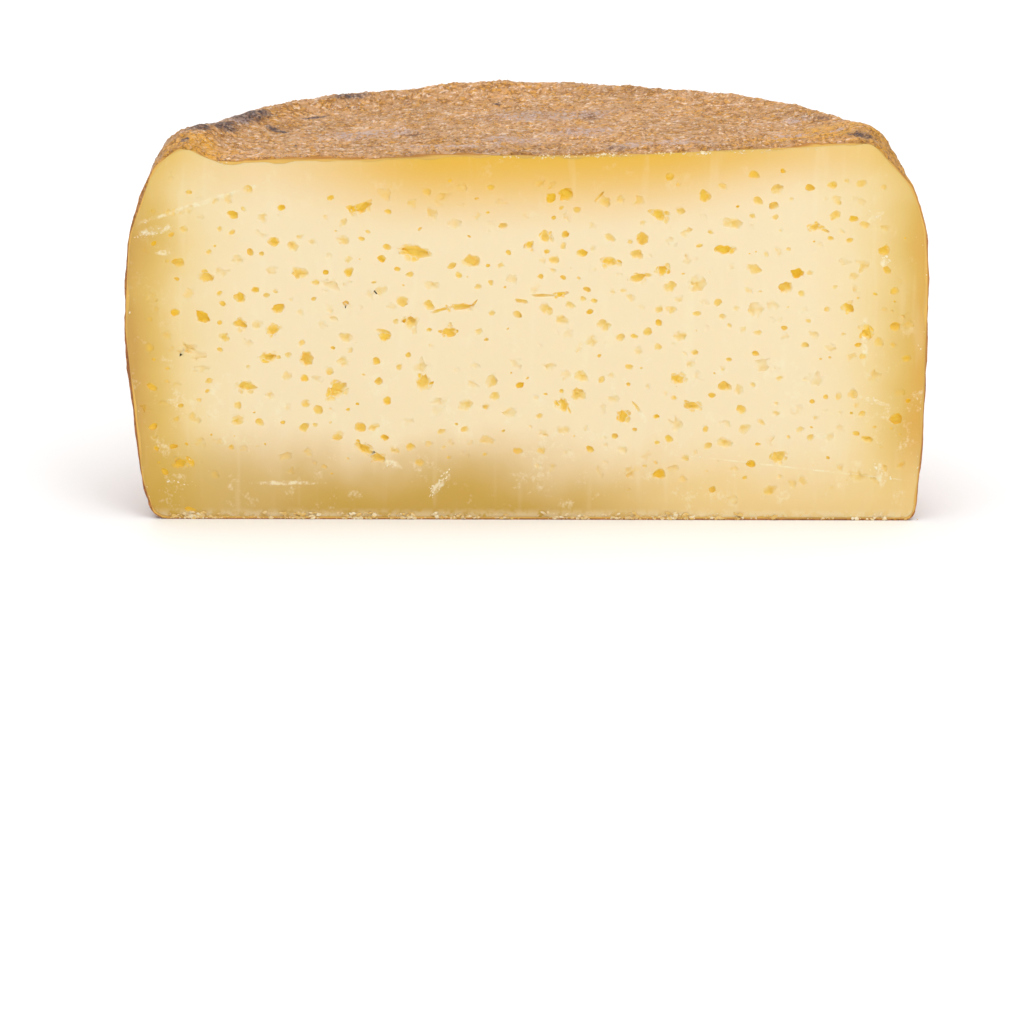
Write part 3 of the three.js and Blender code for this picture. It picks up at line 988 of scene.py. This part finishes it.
def paste_material(settings, group):
    """Waxy paste, pale in the middle and golden towards the rind, darker above the base partly as painted
    shade, with a painted golden glow in the eyes.
    """
    material, tree, surface = new_material("paste")
    place = tree.nodes.new("ShaderNodeTexCoord").outputs["Object"]
    axes = split(tree, place)
    from_side = attribute(tree, "from_side")
    from_top = attribute(tree, "from_top")
    eye = attribute(tree, "eye")

    clouds = noise(tree, place, 38.0, detail=3.0, roughness=0.5).outputs[0]
    wander = remap(tree, clouds, 0.25, 0.75, -2.2, 2.2)
    by_corner = remap(tree, axes["Z"], 0.07, 0.09, 0.0, 7.0)
    depth = total(tree, from_side, wander, by_corner)
    ramp = add_node(tree, "ShaderNodeValToRGB", {0: remap_plain(tree, depth, 0.0, 45.0)})
    stops = ((0.0, settings.rim), *PASTE_STOPS, (1.0, settings.heart))
    elements = ramp.color_ramp.elements
    while len(elements) < len(stops):
        elements.new(0.5)
    for element, (position, shade) in zip(elements, stops):
        element.position = position
        element.color = (*shade, 1.0)
    right_rim = product(tree, remap(tree, axes["X"], 0.055, 0.09), remap(tree, depth, 8.0, 1.0), 0.6)
    base = blend(tree, right_rim, ramp.outputs["Color"], settings.right_rim)

    middle = calculate(tree, "ABSOLUTE", axes["X"])
    deep = remap(tree, from_top, 22.0, 0.5)
    shallow = calculate(tree, "POWER", remap(tree, from_top, 17.0, 0.5), 1.6)
    reach_share = remap(tree, middle, 0.02, 0.075)
    top_share = add_node(tree, "ShaderNodeMix", {0: reach_share, 2: deep, 3: shallow}).outputs[0]
    less_left = remap(tree, axes["X"], -0.07, -0.02, 0.3, 1.0)
    less_right = remap(tree, axes["X"], 0.03, 0.09, 1.0, 0.5)
    top_share = product(tree, top_share, less_left, less_right)
    base = blend(tree, top_share, base, settings.top_band)
    # Darker band above the base, fading to the right: partly the paste's own colour, partly painted shade.
    low = total(tree, axes["Z"], remap(tree, clouds, 0.25, 0.75, -0.004, 0.004))
    left_rise = remap(tree, axes["X"], -0.09, -0.045, 0.64, 0.92)
    base_share = product(tree, remap(tree, low, 0.025, 0.003), left_rise)
    to_right = remap(tree, axes["X"], -0.002, 0.05)
    low_colour = blend(tree, to_right, settings.base_band, settings.foot)
    base = blend(tree, base_share, base, low_colour)

    dry = patches(tree, group, place, DRY_PATCHES, unevenness=1.5, grain=650.0)
    speck = noise(tree, place, 420.0, detail=3.0, roughness=0.6).outputs[0]
    dry = product(tree, dry, remap(tree, speck, 0.4, 0.6, 0.1, 0.75))
    near_base = remap(tree, axes["Z"], 0.0034, 0.0004, 0.0, 0.55)
    fringe = product(tree, near_base, remap(tree, speck, 0.38, 0.56))
    dry = largest(tree, dry, fringe)
    flecks = noise(tree, place, 190.0, detail=5.0, roughness=0.75).outputs[0]
    fleck_strength = remap(tree, axes["Z"], 0.06, 0.03, 0.15, 0.45)
    fleck_share = product(tree, remap(tree, flecks, 0.55, 0.7), fleck_strength)
    dry = largest(tree, dry, fleck_share)
    base = blend(tree, dry, base, settings.crumb)
    streaky = calculate_vector(tree, "MULTIPLY", place, (1.0, 1.0, 0.12))
    streaks = noise(tree, streaky, 240.0, detail=2.0).outputs[0]
    streak_share = product(tree, remap(tree, streaks, 0.55, 0.75), 0.16)
    base = blend(tree, streak_share, base, settings.crumb)
    # Painted glow inside the eyes, stronger where they are deeper.
    base = blend(tree, eye, base, settings.eye)
    tree.links.new(base, surface.inputs["Base Color"])

    tree.links.new(remap(tree, speck, 0.3, 0.7, 0.42, 0.6), surface.inputs["Roughness"])
    grain = noise(tree, place, 1500.0, detail=2.0, roughness=0.6).outputs[0]
    soft = noise(tree, place, 260.0, detail=2.0).outputs[0]
    height = total(tree, product(tree, grain, 0.3), soft)
    bump = add_node(tree, "ShaderNodeBump", {"Height": height, "Strength": 0.25, "Distance": 0.0003})
    tree.links.new(bump.outputs[0], surface.inputs["Normal"])
    set_surface(surface, PASTE_SURFACE)
    return material


def crumb_material(settings):
    """Dry torn paste, from the colour of the face's edge to nearly white."""
    material, tree, surface = new_material("crumb")
    place = tree.nodes.new("ShaderNodeTexCoord").outputs["Object"]
    shade = noise(tree, place, 700.0, detail=2.0).outputs[0]
    whiter = total(tree, attribute(tree, "pale"), remap(tree, shade, 0.3, 0.7, -0.25, 0.25))
    base = blend(tree, remap_plain(tree, whiter, 0.0, 1.0), settings.flake, settings.crumb)
    tree.links.new(base, surface.inputs["Base Color"])
    surface.inputs["Roughness"].default_value = 0.62
    return material


# ---- Rind ------------------------------------------------------------------------------------


def rind_tree():
    """Wrinkles the outside along its outward directions and hollows it out with the core."""
    inputs = {
        "Core": "Object",
        "Wrinkle size": "Float",
        "Wrinkle height": "Float",
        "Raggedness": "Float",
        "Bulge height": "Float",
        "Deepest": "Float",
        "Cut plane": "Float",
        "Material": "Material",
    }
    tree, given = new_tree("Rind", inputs)
    position = tree.nodes.new("GeometryNodeInputPosition").outputs[0]
    flank = named_value(tree, "flank")
    scale = calculate(tree, "DIVIDE", 1.0, given["Wrinkle size"])
    way = squeezed_on_flank(tree, position, flank, (0.8, 0.8, 0.4))
    waves = noise(tree, way, scale, detail=2.0, roughness=0.6, distortion=0.4).outputs[0]
    ridged = calculate(tree, "ABSOLUTE", calculate(tree, "MULTIPLY_ADD", waves, 2.0, -1.0))
    plump = remap(tree, ridged, 0.0, 0.34)
    swell = noise(tree, position, 120.0, detail=2.0).outputs[0]
    strength = remap(tree, swell, 0.3, 0.7, 0.45, 1.0)
    axes = split(tree, position)
    strength = product(tree, strength, remap(tree, axes["Z"], 0.0, 0.006))
    height = product(tree, minus(tree, plump, 0.6), strength)
    height = product(tree, height, given["Wrinkle height"])
    ragged = noise(tree, position, 150.0, detail=4.0, roughness=0.7).outputs[0]
    ragged = product(tree, minus(tree, ragged, 0.46), given["Raggedness"])
    behind_cut = minus(tree, axes["Y"], given["Cut plane"])
    edge_height = product(tree, ragged, remap(tree, behind_cut, 0.009, 0.0, 0.0, 3.0))
    above_base = remap(tree, axes["Z"], 0.002, 0.008)
    height = calculate(tree, "MULTIPLY_ADD", edge_height, above_base, height)
    bulge = product(tree, minus(tree, swell, 0.5), given["Bulge height"])
    height = calculate(tree, "MULTIPLY_ADD", bulge, above_base, height)
    near_cut = product(tree, remap(tree, behind_cut, 0.014, 0.002), flank)
    height = product(tree, height, remap(tree, near_cut, 0.0, 0.6, 1.0, 0.22))
    height = largest(tree, height, given["Deepest"])
    offset = scaled(tree, named_value(tree, "outward", "FLOAT_VECTOR"), height)
    wrinkled = move_points(tree, given["Geometry"], offset)
    wrinkled = store_value(tree, wrinkled, "wrinkle", plump)
    wrinkled = store_value(tree, wrinkled, "skin", 1.0)
    shell = cut_away(tree, wrinkled, other_mesh(tree, given["Core"]))
    end_tree(tree, shell, given["Material"])
    return tree


class MakeRind(bpy.types.Operator):
    """Make the wrinkled brown rind as a thin shell round the paste"""

    bl_idname = "goat_cheese.make_rind"
    bl_label = "Make rind"

    def execute(self, context):
        settings = context.scene.rind_settings
        steps = (HEEL_STEPS, FLANK_STEPS, SHOULDER_STEPS)
        points, faces, outward, flank = half_wheel(TOP_CELLS, steps)
        outside = make_object("rind_outside", points, faces, outward=outward, flank=flank)
        core = make_core("rind_core", settings.thickness / MM)
        rind = grow(
            "cheese_rind",
            outside,
            rind_tree(),
            Core=core,
            Wrinkle_size=settings.wrinkle_size,
            Wrinkle_height=settings.wrinkle_height,
            Raggedness=settings.raggedness,
            Bulge_height=settings.bulge_height,
            Deepest=RIND_AT_LEAST * MM - settings.thickness,
            Cut_plane=float(WHEEL_ORIGIN[1]),
            Material=rind_material(settings, patch_group()),
        )
        discard(core)
        finish_piece(rind)
        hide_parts(NODE)
        return {"FINISHED"}


# ---- Paste and eyes --------------------------------------------------------------------------


def eye_chance(x, z):
    """How likely an eye is at a place on the face: none by the rind, few near top and base."""
    angle = math.pi if x < 0 else 0.0
    below = top_height(min(abs(x), RIM_RADIUS), angle) - z
    if below <= 0 or abs(x) > side_radius(z, angle) - EYE_MARGIN:
        return 0.0
    floor = lerp(*EYE_FLOOR, smoothstep(x, -10, 50))
    from_top = smoothstep(below, *EYE_TOP_FADE)
    from_base = smoothstep(z, floor - EYE_FLOOR_FADE, floor + EYE_FLOOR_FADE)
    return from_top * from_base


def is_clear(x, z, width, eyes):
    rows = np.array([(eye[0], eye[1], eye[2]) for eye in eyes])
    room = (width + rows[:, 2]) / 2 + EYE_GAP
    return bool(np.all(np.hypot(x - rows[:, 0], z - rows[:, 1]) > room))


def free_place(draws, width, eyes):
    """A place on the face where an eye of the width is clear of the others."""
    while True:
        x = (draws.next() * 2 - 1) * BELLY_RADIUS
        z = draws.next() * TOP_HEIGHT
        if draws.next() <= eye_chance(x, z) and is_clear(x, z, width, eyes):
            return x, z


def beside(x, z, across, along, lean):
    """The place that lies across and along from a place on the face, turned by the lean."""
    turned_x = x + across * math.cos(lean) - along * math.sin(lean)
    return turned_x, z + across * math.sin(lean) + along * math.cos(lean)


def place_eyes():
    """All eyes as rows of x, z, width, height, turn and share of burial, the large ones first."""
    eyes = [(*eye, LARGE_EYE_BURY) for eye in LARGE_EYES]
    draws = Draws(EYE_SEED)
    for index in range(FACE_EYES):
        width = EYE_SIZE * (-math.log((index + 0.5) / FACE_EYES)) ** EYE_SIZE_POWER
        x, z = free_place(draws, width, eyes)
        height = width / draws.between(*EYE_FLATNESS)
        turn = (draws.next() * 2 - 1) * EYE_TURN
        eyes.append((x, z, width, height, turn, draws.between(*EYE_BURY)))
    for _ in range(FAINT_EYES):
        width = draws.between(*FAINT_EYE_WIDTH)
        x, z = free_place(draws, width, eyes)
        eyes.append((x, z, width, width * 0.8, 0.0, draws.between(*FAINT_EYE_BURY)))
    for index, (x, z, width, height, turn) in enumerate(LARGE_EYES):
        eyes[index] = (x, z, width * LARGE_EYE_CORE, height * LARGE_EYE_CORE, turn, LARGE_EYE_BURY)
    return eyes


def place_tears():
    """Sets of lobes that tear the large eyes open, one an eye in each, and the slits in the first."""
    draws = Draws(TEAR_SEED)
    sets = []
    for side in range(TEARS_PER_EYE):
        tears = []
        for x, z, width, height, turn in LARGE_EYES:
            bearing = math.tau * (side + draws.next()) / TEARS_PER_EYE
            across = math.cos(bearing) * width * draws.between(*TEAR_ACROSS)
            along = math.sin(bearing) * height * draws.between(*TEAR_ALONG)
            place = beside(x, z, across, along, math.radians(turn))
            twist = turn + draws.between(-TEAR_TWIST, TEAR_TWIST)
            tear_width = width * draws.between(*TEAR_WIDTH)
            tear_height = height * draws.between(*TEAR_HEIGHT)
            tears.append((*place, tear_width, tear_height, twist, draws.between(*TEAR_BURY)))
        sets.append(tears)
    sets[0] += [(*slit, SLIT_BURY) for slit in SLITS]
    return sets


def bubble_points(name, eyes, seed):
    """The middles of the bubbles behind the face, with the sizes and turns to cut them with."""
    draws = Draws(seed)
    middles, sizes, turns, tints, fine = [], [], [], [], []
    for x, z, width, height, turn, bury in eyes:
        opening = math.sqrt(1 - bury**2)
        depth = EYE_DEPTH * math.sqrt(width * height) / 2 / opening
        middles.append((x, bury * depth, z))
        sizes.append((width / 2 / opening * MM, depth * MM, height / 2 / opening * MM))
        tilt = math.radians(EYE_TILT)
        lean = -math.radians(turn)
        turns.append((draws.between(-tilt, tilt), lean, draws.between(-tilt, tilt) / 2))
        burial = (bury - EYE_BURY[0]) / (EYE_BURY[1] - EYE_BURY[0])
        tints.append(lerp(*EYE_TINT, max(0.0, burial)) * draws.between(*EYE_TINT_SPREAD))
        fine.append(1.0 if width > FINE_EYE_WIDTH or bury < FINE_EYE_BURY else 0.0)
    places = np.array(middles) * MM + WHEEL_ORIGIN
    return make_object(name, middles, semi_axes=sizes, turn=turns, tint=tints, fine=fine, middle=places)


def bubbles(tree, eyes, roughness, cut_plane):
    """Uneven balls at the points of the eyes, with a value that grows with their depth: the share of
    painted golden glow inside them.
    """
    points = other_mesh(tree, eyes)
    fine = named_value(tree, "fine")
    size = named_value(tree, "semi_axes", "FLOAT_VECTOR")
    joined = tree.nodes.new("GeometryNodeJoinGeometry")
    for subdivisions, level in ((2, 0.0), (3, 1.0)):
        chosen = calculate(tree, "COMPARE", fine, level, 0.5)
        tree.links.new(balls_at_points(tree, points, subdivisions, chosen), joined.inputs[0])
    whole = realize(tree, joined.outputs[0])
    position = tree.nodes.new("GeometryNodeInputPosition").outputs[0]
    bend = noise(tree, position, 620.0, detail=3.0, roughness=0.7).outputs[0]
    uneven = product(tree, minus(tree, bend, 0.5), roughness)
    depth = minus(tree, split(tree, position)["Y"], cut_plane)
    from_middle = calculate_vector(tree, "SUBTRACT", position, named_value(tree, "middle", "FLOAT_VECTOR"))
    sideways = calculate_vector(tree, "MULTIPLY", from_middle, (1.0, 0.0, 1.0))
    flare = scaled(tree, sideways, remap(tree, depth, 0.0005, 0.0, 0.0, EYE_FLARE))
    offset = scaled(tree, from_middle, uneven)
    ragged = move_points(tree, whole, calculate_vector(tree, "ADD", offset, flare))
    # Painted glow: the walls of an eye turn golden with depth, standing in for light through the paste.
    deepest = product(tree, split(tree, size)["Y"], 0.85)
    share = add_node(tree, "ShaderNodeMath", {0: depth, 1: deepest}, operation="DIVIDE", use_clamp=True)
    painted_glow = calculate(tree, "POWER", share.outputs[0], 0.7)
    painted_glow = product(tree, painted_glow, named_value(tree, "tint"))
    return store_value(tree, ragged, "eye", painted_glow)


def paste_tree():
    """Cuts the core with a wavy knife and the bubbles out of what is left."""
    inputs = {
        "Knife": "Object",
        "Eyes": "Object",
        **{label: "Object" for label in TEAR_SETS},
        "Waviness": "Float",
        "Eye roughness": "Float",
        "Cut plane": "Float",
        "Material": "Material",
    }
    tree, given = new_tree("Paste", inputs)
    position = tree.nodes.new("GeometryNodeInputPosition").outputs[0]
    axes = split(tree, position)
    swell = noise(tree, position, 45.0, detail=2.0).outputs[0]
    crumbly = noise(tree, position, 420.0, detail=3.0, roughness=0.65).outputs[0]
    near_base = remap(tree, axes["Z"], 0.005, 0.0005)
    rough = product(tree, crumbly, calculate(tree, "MULTIPLY_ADD", near_base, 6.0, 0.5))
    uneven = minus(tree, total(tree, swell, rough), 1.0)
    depth = product(tree, uneven, given["Waviness"])
    in_front = calculate(tree, "LESS_THAN", axes["Y"], minus(tree, given["Cut plane"], MM))
    depth = product(tree, depth, minus(tree, 1.0, in_front))
    offset = add_node(tree, "ShaderNodeCombineXYZ", {"Y": depth}).outputs[0]
    knife = move_points(tree, other_mesh(tree, given["Knife"]), offset)
    paste = cut_away(tree, given["Geometry"], knife)
    for label in ("Eyes", *TEAR_SETS):
        hollow = bubbles(tree, given[label], given["Eye roughness"], given["Cut plane"])
        paste = cut_away(tree, paste, hollow)
    end_tree(tree, paste, given["Material"])
    return tree


def make_knife():
    """A block in front of the cut with a finely divided back."""
    xs = np.arange(-BELLY_RADIUS - 3, BELLY_RADIUS + 3 + KNIFE_CELL, KNIFE_CELL)
    zs = np.arange(-3, TOP_HEIGHT + 9, KNIFE_CELL)
    across, up = np.meshgrid(xs, zs)
    grid = np.column_stack((across.ravel(), np.zeros(across.size), up.ravel()))
    width, height = len(xs), len(zs)
    corner = (np.arange(height - 1)[:, None] * width + np.arange(width - 1)).ravel()
    faces = np.column_stack((corner, corner + width, corner + width + 1, corner + 1)).tolist()
    bottom = list(range(width))
    right = [row * width + width - 1 for row in range(1, height)]
    top = [(height - 1) * width + column for column in range(width - 2, -1, -1)]
    left = [row * width for row in range(height - 2, 0, -1)]
    rim = bottom + right + top + left
    front = grid[rim] - np.array([0, KNIFE_DEPTH, 0])
    start = len(grid)
    count = len(rim)
    for index in range(count):
        after = (index + 1) % count
        faces.append([rim[index], rim[after], start + after, start + index])
    faces.append([start + index for index in range(count)])
    return make_object("knife", np.vstack((grid, front)), faces)


def store_depths(paste):
    """Stores how far each point lies from the flank and below the top, in millimetres."""
    mesh = paste.data
    places = np.empty(len(mesh.vertices) * 3, dtype=np.float32)
    mesh.vertices.foreach_get("co", places)
    points = (places.reshape(-1, 3) - WHEEL_ORIGIN) / MM
    radius = np.hypot(points[:, 0], points[:, 1])
    angle = np.arctan2(points[:, 1], points[:, 0])
    from_top = top_height(np.minimum(radius, RIM_RADIUS), angle) - points[:, 2]
    from_side = np.full(len(points), np.inf)
    for level in np.linspace(2, TOP_HEIGHT, DEPTH_LEVELS):
        away = np.hypot(side_radius(level, angle) - radius, level - points[:, 2])
        from_side = np.minimum(from_side, away)
    for label, values in (("from_side", from_side), ("from_top", from_top)):
        stored = mesh.attributes.new(label, "FLOAT", "POINT")
        stored.data.foreach_set("value", values.astype(np.float32))


class MakePaste(bpy.types.Operator):
    """Make the paste with its cut face and its eyes"""

    bl_idname = "goat_cheese.make_paste"
    bl_label = "Make paste"

    def execute(self, context):
        settings = context.scene.paste_settings
        core = make_core("paste_core", context.scene.rind_settings.thickness / MM + PASTE_GAP)
        knife = make_knife()
        eyes = bubble_points("eye_points", place_eyes(), EYE_SEED + 1)
        tears = {
            label.replace(" ", "_"): bubble_points(label, rows, TEAR_SEED + number)
            for number, (label, rows) in enumerate(zip(TEAR_SETS, place_tears()), 1)
        }
        paste = grow(
            "cheese_paste",
            core,
            paste_tree(),
            Knife=knife,
            Eyes=eyes,
            **tears,
            Waviness=settings.waviness,
            Eye_roughness=settings.eye_roughness,
            Cut_plane=float(WHEEL_ORIGIN[1]),
            Material=paste_material(settings, patch_group()),
        )
        discard(knife, eyes, *tears.values())
        store_depths(paste)
        finish_piece(paste)
        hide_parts(NODE)
        return {"FINISHED"}


# ---- Crumbs ----------------------------------------------------------------------------------


def scrape_crumbs(draws):
    """Crumbs along the scrapes and in the crumbly patches."""
    rows = []
    for start, end, half_width, count in SCRAPES:
        lean = math.atan2(end[1] - start[1], end[0] - start[0])
        for _ in range(count):
            share = draws.next()
            x = lerp(start[0], end[0], share) + half_width * (draws.next() - draws.next())
            z = lerp(start[1], end[1], share) + half_width * (draws.next() - draws.next())
            size = lerp(*SCRAPE_CRUMB, draws.next() ** 2)
            pale = draws.between(*SCRAPE_PALE)
            rows.append((x, z, size, pale, lean + draws.between(-SCRAPE_TWIST, SCRAPE_TWIST)))
    return rows


def eye_crumbs(draws):
    """Crumbs round the torn edges of the large eyes."""
    rows = []
    for x, z, width, height, turn in LARGE_EYES:
        lean = math.radians(turn)
        start = draws.next() * math.tau
        for _ in range(EYE_CRUMBS):
            bearing = start + draws.between(0, EYE_CRUMB_ARC)
            across = math.cos(bearing) * (width / 2 + draws.between(*EYE_CRUMB_OUT))
            along = math.sin(bearing) * (height / 2 + draws.between(*EYE_CRUMB_OUT))
            place = beside(x, z, across, along, lean)
            size = draws.between(*EYE_CRUMB)
            rows.append((*place, size, draws.between(*EYE_CRUMB_PALE), bearing + lean + math.pi / 2))
    return rows


def clustered(draws, ends, clusters, reach, flakes, sizes):
    """Flakes in clusters along an edge, as rows of place, size and paleness."""
    rows = []
    for _ in range(clusters):
        middle = draws.between(*ends)
        half = draws.between(*reach)
        pale = draws.next()
        for _ in range(round(draws.between(*flakes))):
            place = middle + half * (draws.next() - draws.next())
            rows.append((place, lerp(*sizes, draws.next() ** 2), pale**2 * draws.between(0.6, 1.0)))
    return rows


def edge_crumbs(draws):
    """Flakes along the lower edge, under the top and by the flanks of the cut face."""
    rows = []
    for x, size, pale in clustered(draws, *BASE_CLUSTERS):
        level = 0.15 + size * 0.45 + draws.next() ** 2 * 1.5
        rows.append((x, level, size, pale, draws.between(-0.5, 0.5)))
    for x, size, pale in clustered(draws, *TOP_CLUSTERS) + clustered(draws, *FAR_TOP_CLUSTERS):
        angle = math.pi if x < 0 else 0.0
        level = float(top_height(abs(x), angle)) - 0.55 - draws.next() ** 2 * 0.8
        rows.append((x, level, size, 0.3 + pale * 0.7, draws.between(-0.4, 0.4)))
    for _ in range(SIDE_CRUMBS):
        angle = math.pi if draws.next() < 0.5 else 0.0
        z = draws.between(*SIDE_CRUMB_LEVEL)
        x = math.cos(angle) * (float(side_radius(z, angle)) - 0.8 - draws.next() ** 2 * 2)
        rows.append((x, z, draws.between(*SIDE_CRUMB), draws.between(0.2, 0.8), draws.between(0.8, 2.2)))
    return rows


def crumb_tree():
    """A flat ragged crumb at each point."""
    tree, given = new_tree("Crumbs", {"Raggedness": "Float", "Material": "Material"})
    whole = realize(tree, balls_at_points(tree, given["Geometry"], 2))
    position = tree.nodes.new("GeometryNodeInputPosition").outputs[0]
    bend = noise(tree, position, 1900.0, detail=1.0).outputs["Color"]
    centred = calculate_vector(tree, "SUBTRACT", bend, (0.5, 0.5, 0.5))
    width = length(tree, named_value(tree, "semi_axes", "FLOAT_VECTOR"))
    offset = scaled(tree, centred, product(tree, width, given["Raggedness"]))
    end_tree(tree, move_points(tree, whole, offset), given["Material"])
    return tree


class MakeCrumbs(bpy.types.Operator):
    """Make the crumbs and flakes that cling to the cut face"""

    bl_idname = "goat_cheese.make_crumbs"
    bl_label = "Make crumbs"

    def execute(self, context):
        settings = context.scene.crumb_settings
        draws = Draws(settings.seed)
        rows = scrape_crumbs(draws) + eye_crumbs(draws) + edge_crumbs(draws)
        middles, sizes, turns, paleness = [], [], [], []
        for x, z, size, pale, lean in rows:
            middles.append((x, draws.between(*CRUMB_BEHIND_CUT), z))
            long = size * draws.between(*CRUMB_LENGTH)
            thick = size * draws.between(*CRUMB_THICKNESS)
            sizes.append((long * MM, thick * MM, size * draws.between(*CRUMB_WIDTH) * MM))
            turns.append((draws.between(*CRUMB_TILT), -lean, draws.between(*CRUMB_TILT)))
            paleness.append(pale)
        points = make_object("crumb_points", middles, semi_axes=sizes, turn=turns, pale=paleness)
        crumbs = grow(
            "cheese_crumbs",
            points,
            crumb_tree(),
            Raggedness=settings.raggedness,
            Material=crumb_material(context.scene.paste_settings),
        )
        finish_piece(crumbs)
        return {"FINISHED"}


# ---- Stage -----------------------------------------------------------------------------------

FLOOR_SIZE = 6.0
# A light's name and setting, its size, its azimuth and elevation, and how far away it is.
LIGHTS = (
    ("overhead", 3.0, 0, 90, 1.9),
    ("key", 0.5, 30, 38, 1.2),
    ("back", 0.35, 200, 38, 1.2),
)
CAMERA_TARGET = (-3.84, 0.0, 1.99)
CAMERA_DISTANCE = 1.1
CAMERA_ELEVATION = 15.65
CAMERA_AZIMUTH = 0.47
LENS = 153.5
SENSOR = 36.0


def camera_direction(azimuth, elevation):
    """The direction from the object to a place round it, in degrees to the right and up."""
    turn = math.radians(azimuth)
    climb = math.radians(elevation)
    flat = math.cos(climb)
    return Vector((math.sin(turn) * flat, -math.cos(turn) * flat, math.sin(climb)))


def add_soft_light(name, power, size, direction, distance):
    """A square light that looks at the middle of the object."""
    light = bpy.data.lights.new(name, "AREA")
    light.energy = power
    light.size = size
    lamp = bpy.data.objects.new(name, light)
    middle = (CAD_LOW + CAD_HIGH) / 2
    lamp.location = middle + direction * distance
    lamp.rotation_euler = direction.to_track_quat("Z", "Y").to_euler()
    bpy.context.collection.objects.link(lamp)


class MakeStage(bpy.types.Operator):
    """Make the floor, the lights and the camera"""

    bl_idname = "goat_cheese.make_stage"
    bl_label = "Make stage"

    def execute(self, context):
        scene = context.scene
        settings = scene.stage_settings
        half = FLOOR_SIZE / 2
        corners = [(-half, -half, 0), (half, -half, 0), (half, half, 0), (-half, half, 0)]
        mesh = bpy.data.meshes.new("floor")
        mesh.from_pydata(corners, [], [(0, 1, 2, 3)])
        material, _, surface = new_material("floor")
        shade = (*settings.floor, 1.0)
        set_surface(surface, {"Base Color": shade, "Roughness": 0.9, "Specular IOR Level": 0.1})
        mesh.materials.append(material)
        floor = bpy.data.objects.new("floor", mesh)
        context.collection.objects.link(floor)

        world = bpy.data.worlds.new("studio")
        world.use_nodes = True
        daylight = world.node_tree.nodes["Background"]
        set_surface(daylight, {"Color": (1.0, 1.0, 1.0, 1.0), "Strength": settings.daylight})
        scene.world = world
        for name, size, azimuth, elevation, distance in LIGHTS:
            direction = camera_direction(azimuth, elevation)
            add_soft_light(name, getattr(settings, name), size, direction, distance)

        camera = bpy.data.cameras.new("camera")
        camera.lens = LENS
        camera.sensor_width = SENSOR
        camera.clip_start = 0.01
        viewer = bpy.data.objects.new("camera", camera)
        back = camera_direction(CAMERA_AZIMUTH, CAMERA_ELEVATION)
        viewer.location = Vector(place_on_wheel(CAMERA_TARGET)) + back * CAMERA_DISTANCE
        viewer.rotation_euler = back.to_track_quat("Z", "Y").to_euler()
        context.collection.objects.link(viewer)
        scene.camera = viewer
        scene.view_settings.view_transform = "Standard"
        scene.view_settings.look = "None"
        return {"FINISHED"}


# ---- Add-on ----------------------------------------------------------------------------------


class CheesePanel(bpy.types.Panel):
    """The settings and the steps in order"""

    bl_idname = "VIEW3D_PT_goat_cheese"
    bl_label = "Goat cheese"
    bl_space_type = "VIEW_3D"
    bl_region_type = "UI"
    bl_category = "Goat cheese"

    def draw(self, context):
        for operator, settings in STEPS:
            box = self.layout.box()
            group = getattr(context.scene, settings)
            for label in group.bl_rna.properties.keys():
                if label not in ("rna_type", "name"):
                    box.prop(group, label)
            box.operator(operator.bl_idname)


STEPS = (
    (MakeRind, "rind_settings"),
    (MakePaste, "paste_settings"),
    (MakeCrumbs, "crumb_settings"),
    (MakeStage, "stage_settings"),
)
SETTINGS = {
    "rind_settings": RindSettings,
    "paste_settings": PasteSettings,
    "crumb_settings": CrumbSettings,
    "stage_settings": StageSettings,
}
CLASSES = (*SETTINGS.values(), *(operator for operator, _ in STEPS), CheesePanel)


def register():
    for each in CLASSES:
        bpy.utils.register_class(each)
    for label, group in SETTINGS.items():
        setattr(bpy.types.Scene, label, PointerProperty(type=group))


def unregister():
    for label in SETTINGS:
        delattr(bpy.types.Scene, label)
    for each in reversed(CLASSES):
        bpy.utils.unregister_class(each)


def main():
    register()
    bpy.ops.goat_cheese.make_rind()
    bpy.ops.goat_cheese.make_paste()
    bpy.ops.goat_cheese.make_crumbs()
    bpy.ops.goat_cheese.make_stage()


if __name__ == "__main__":
    main()
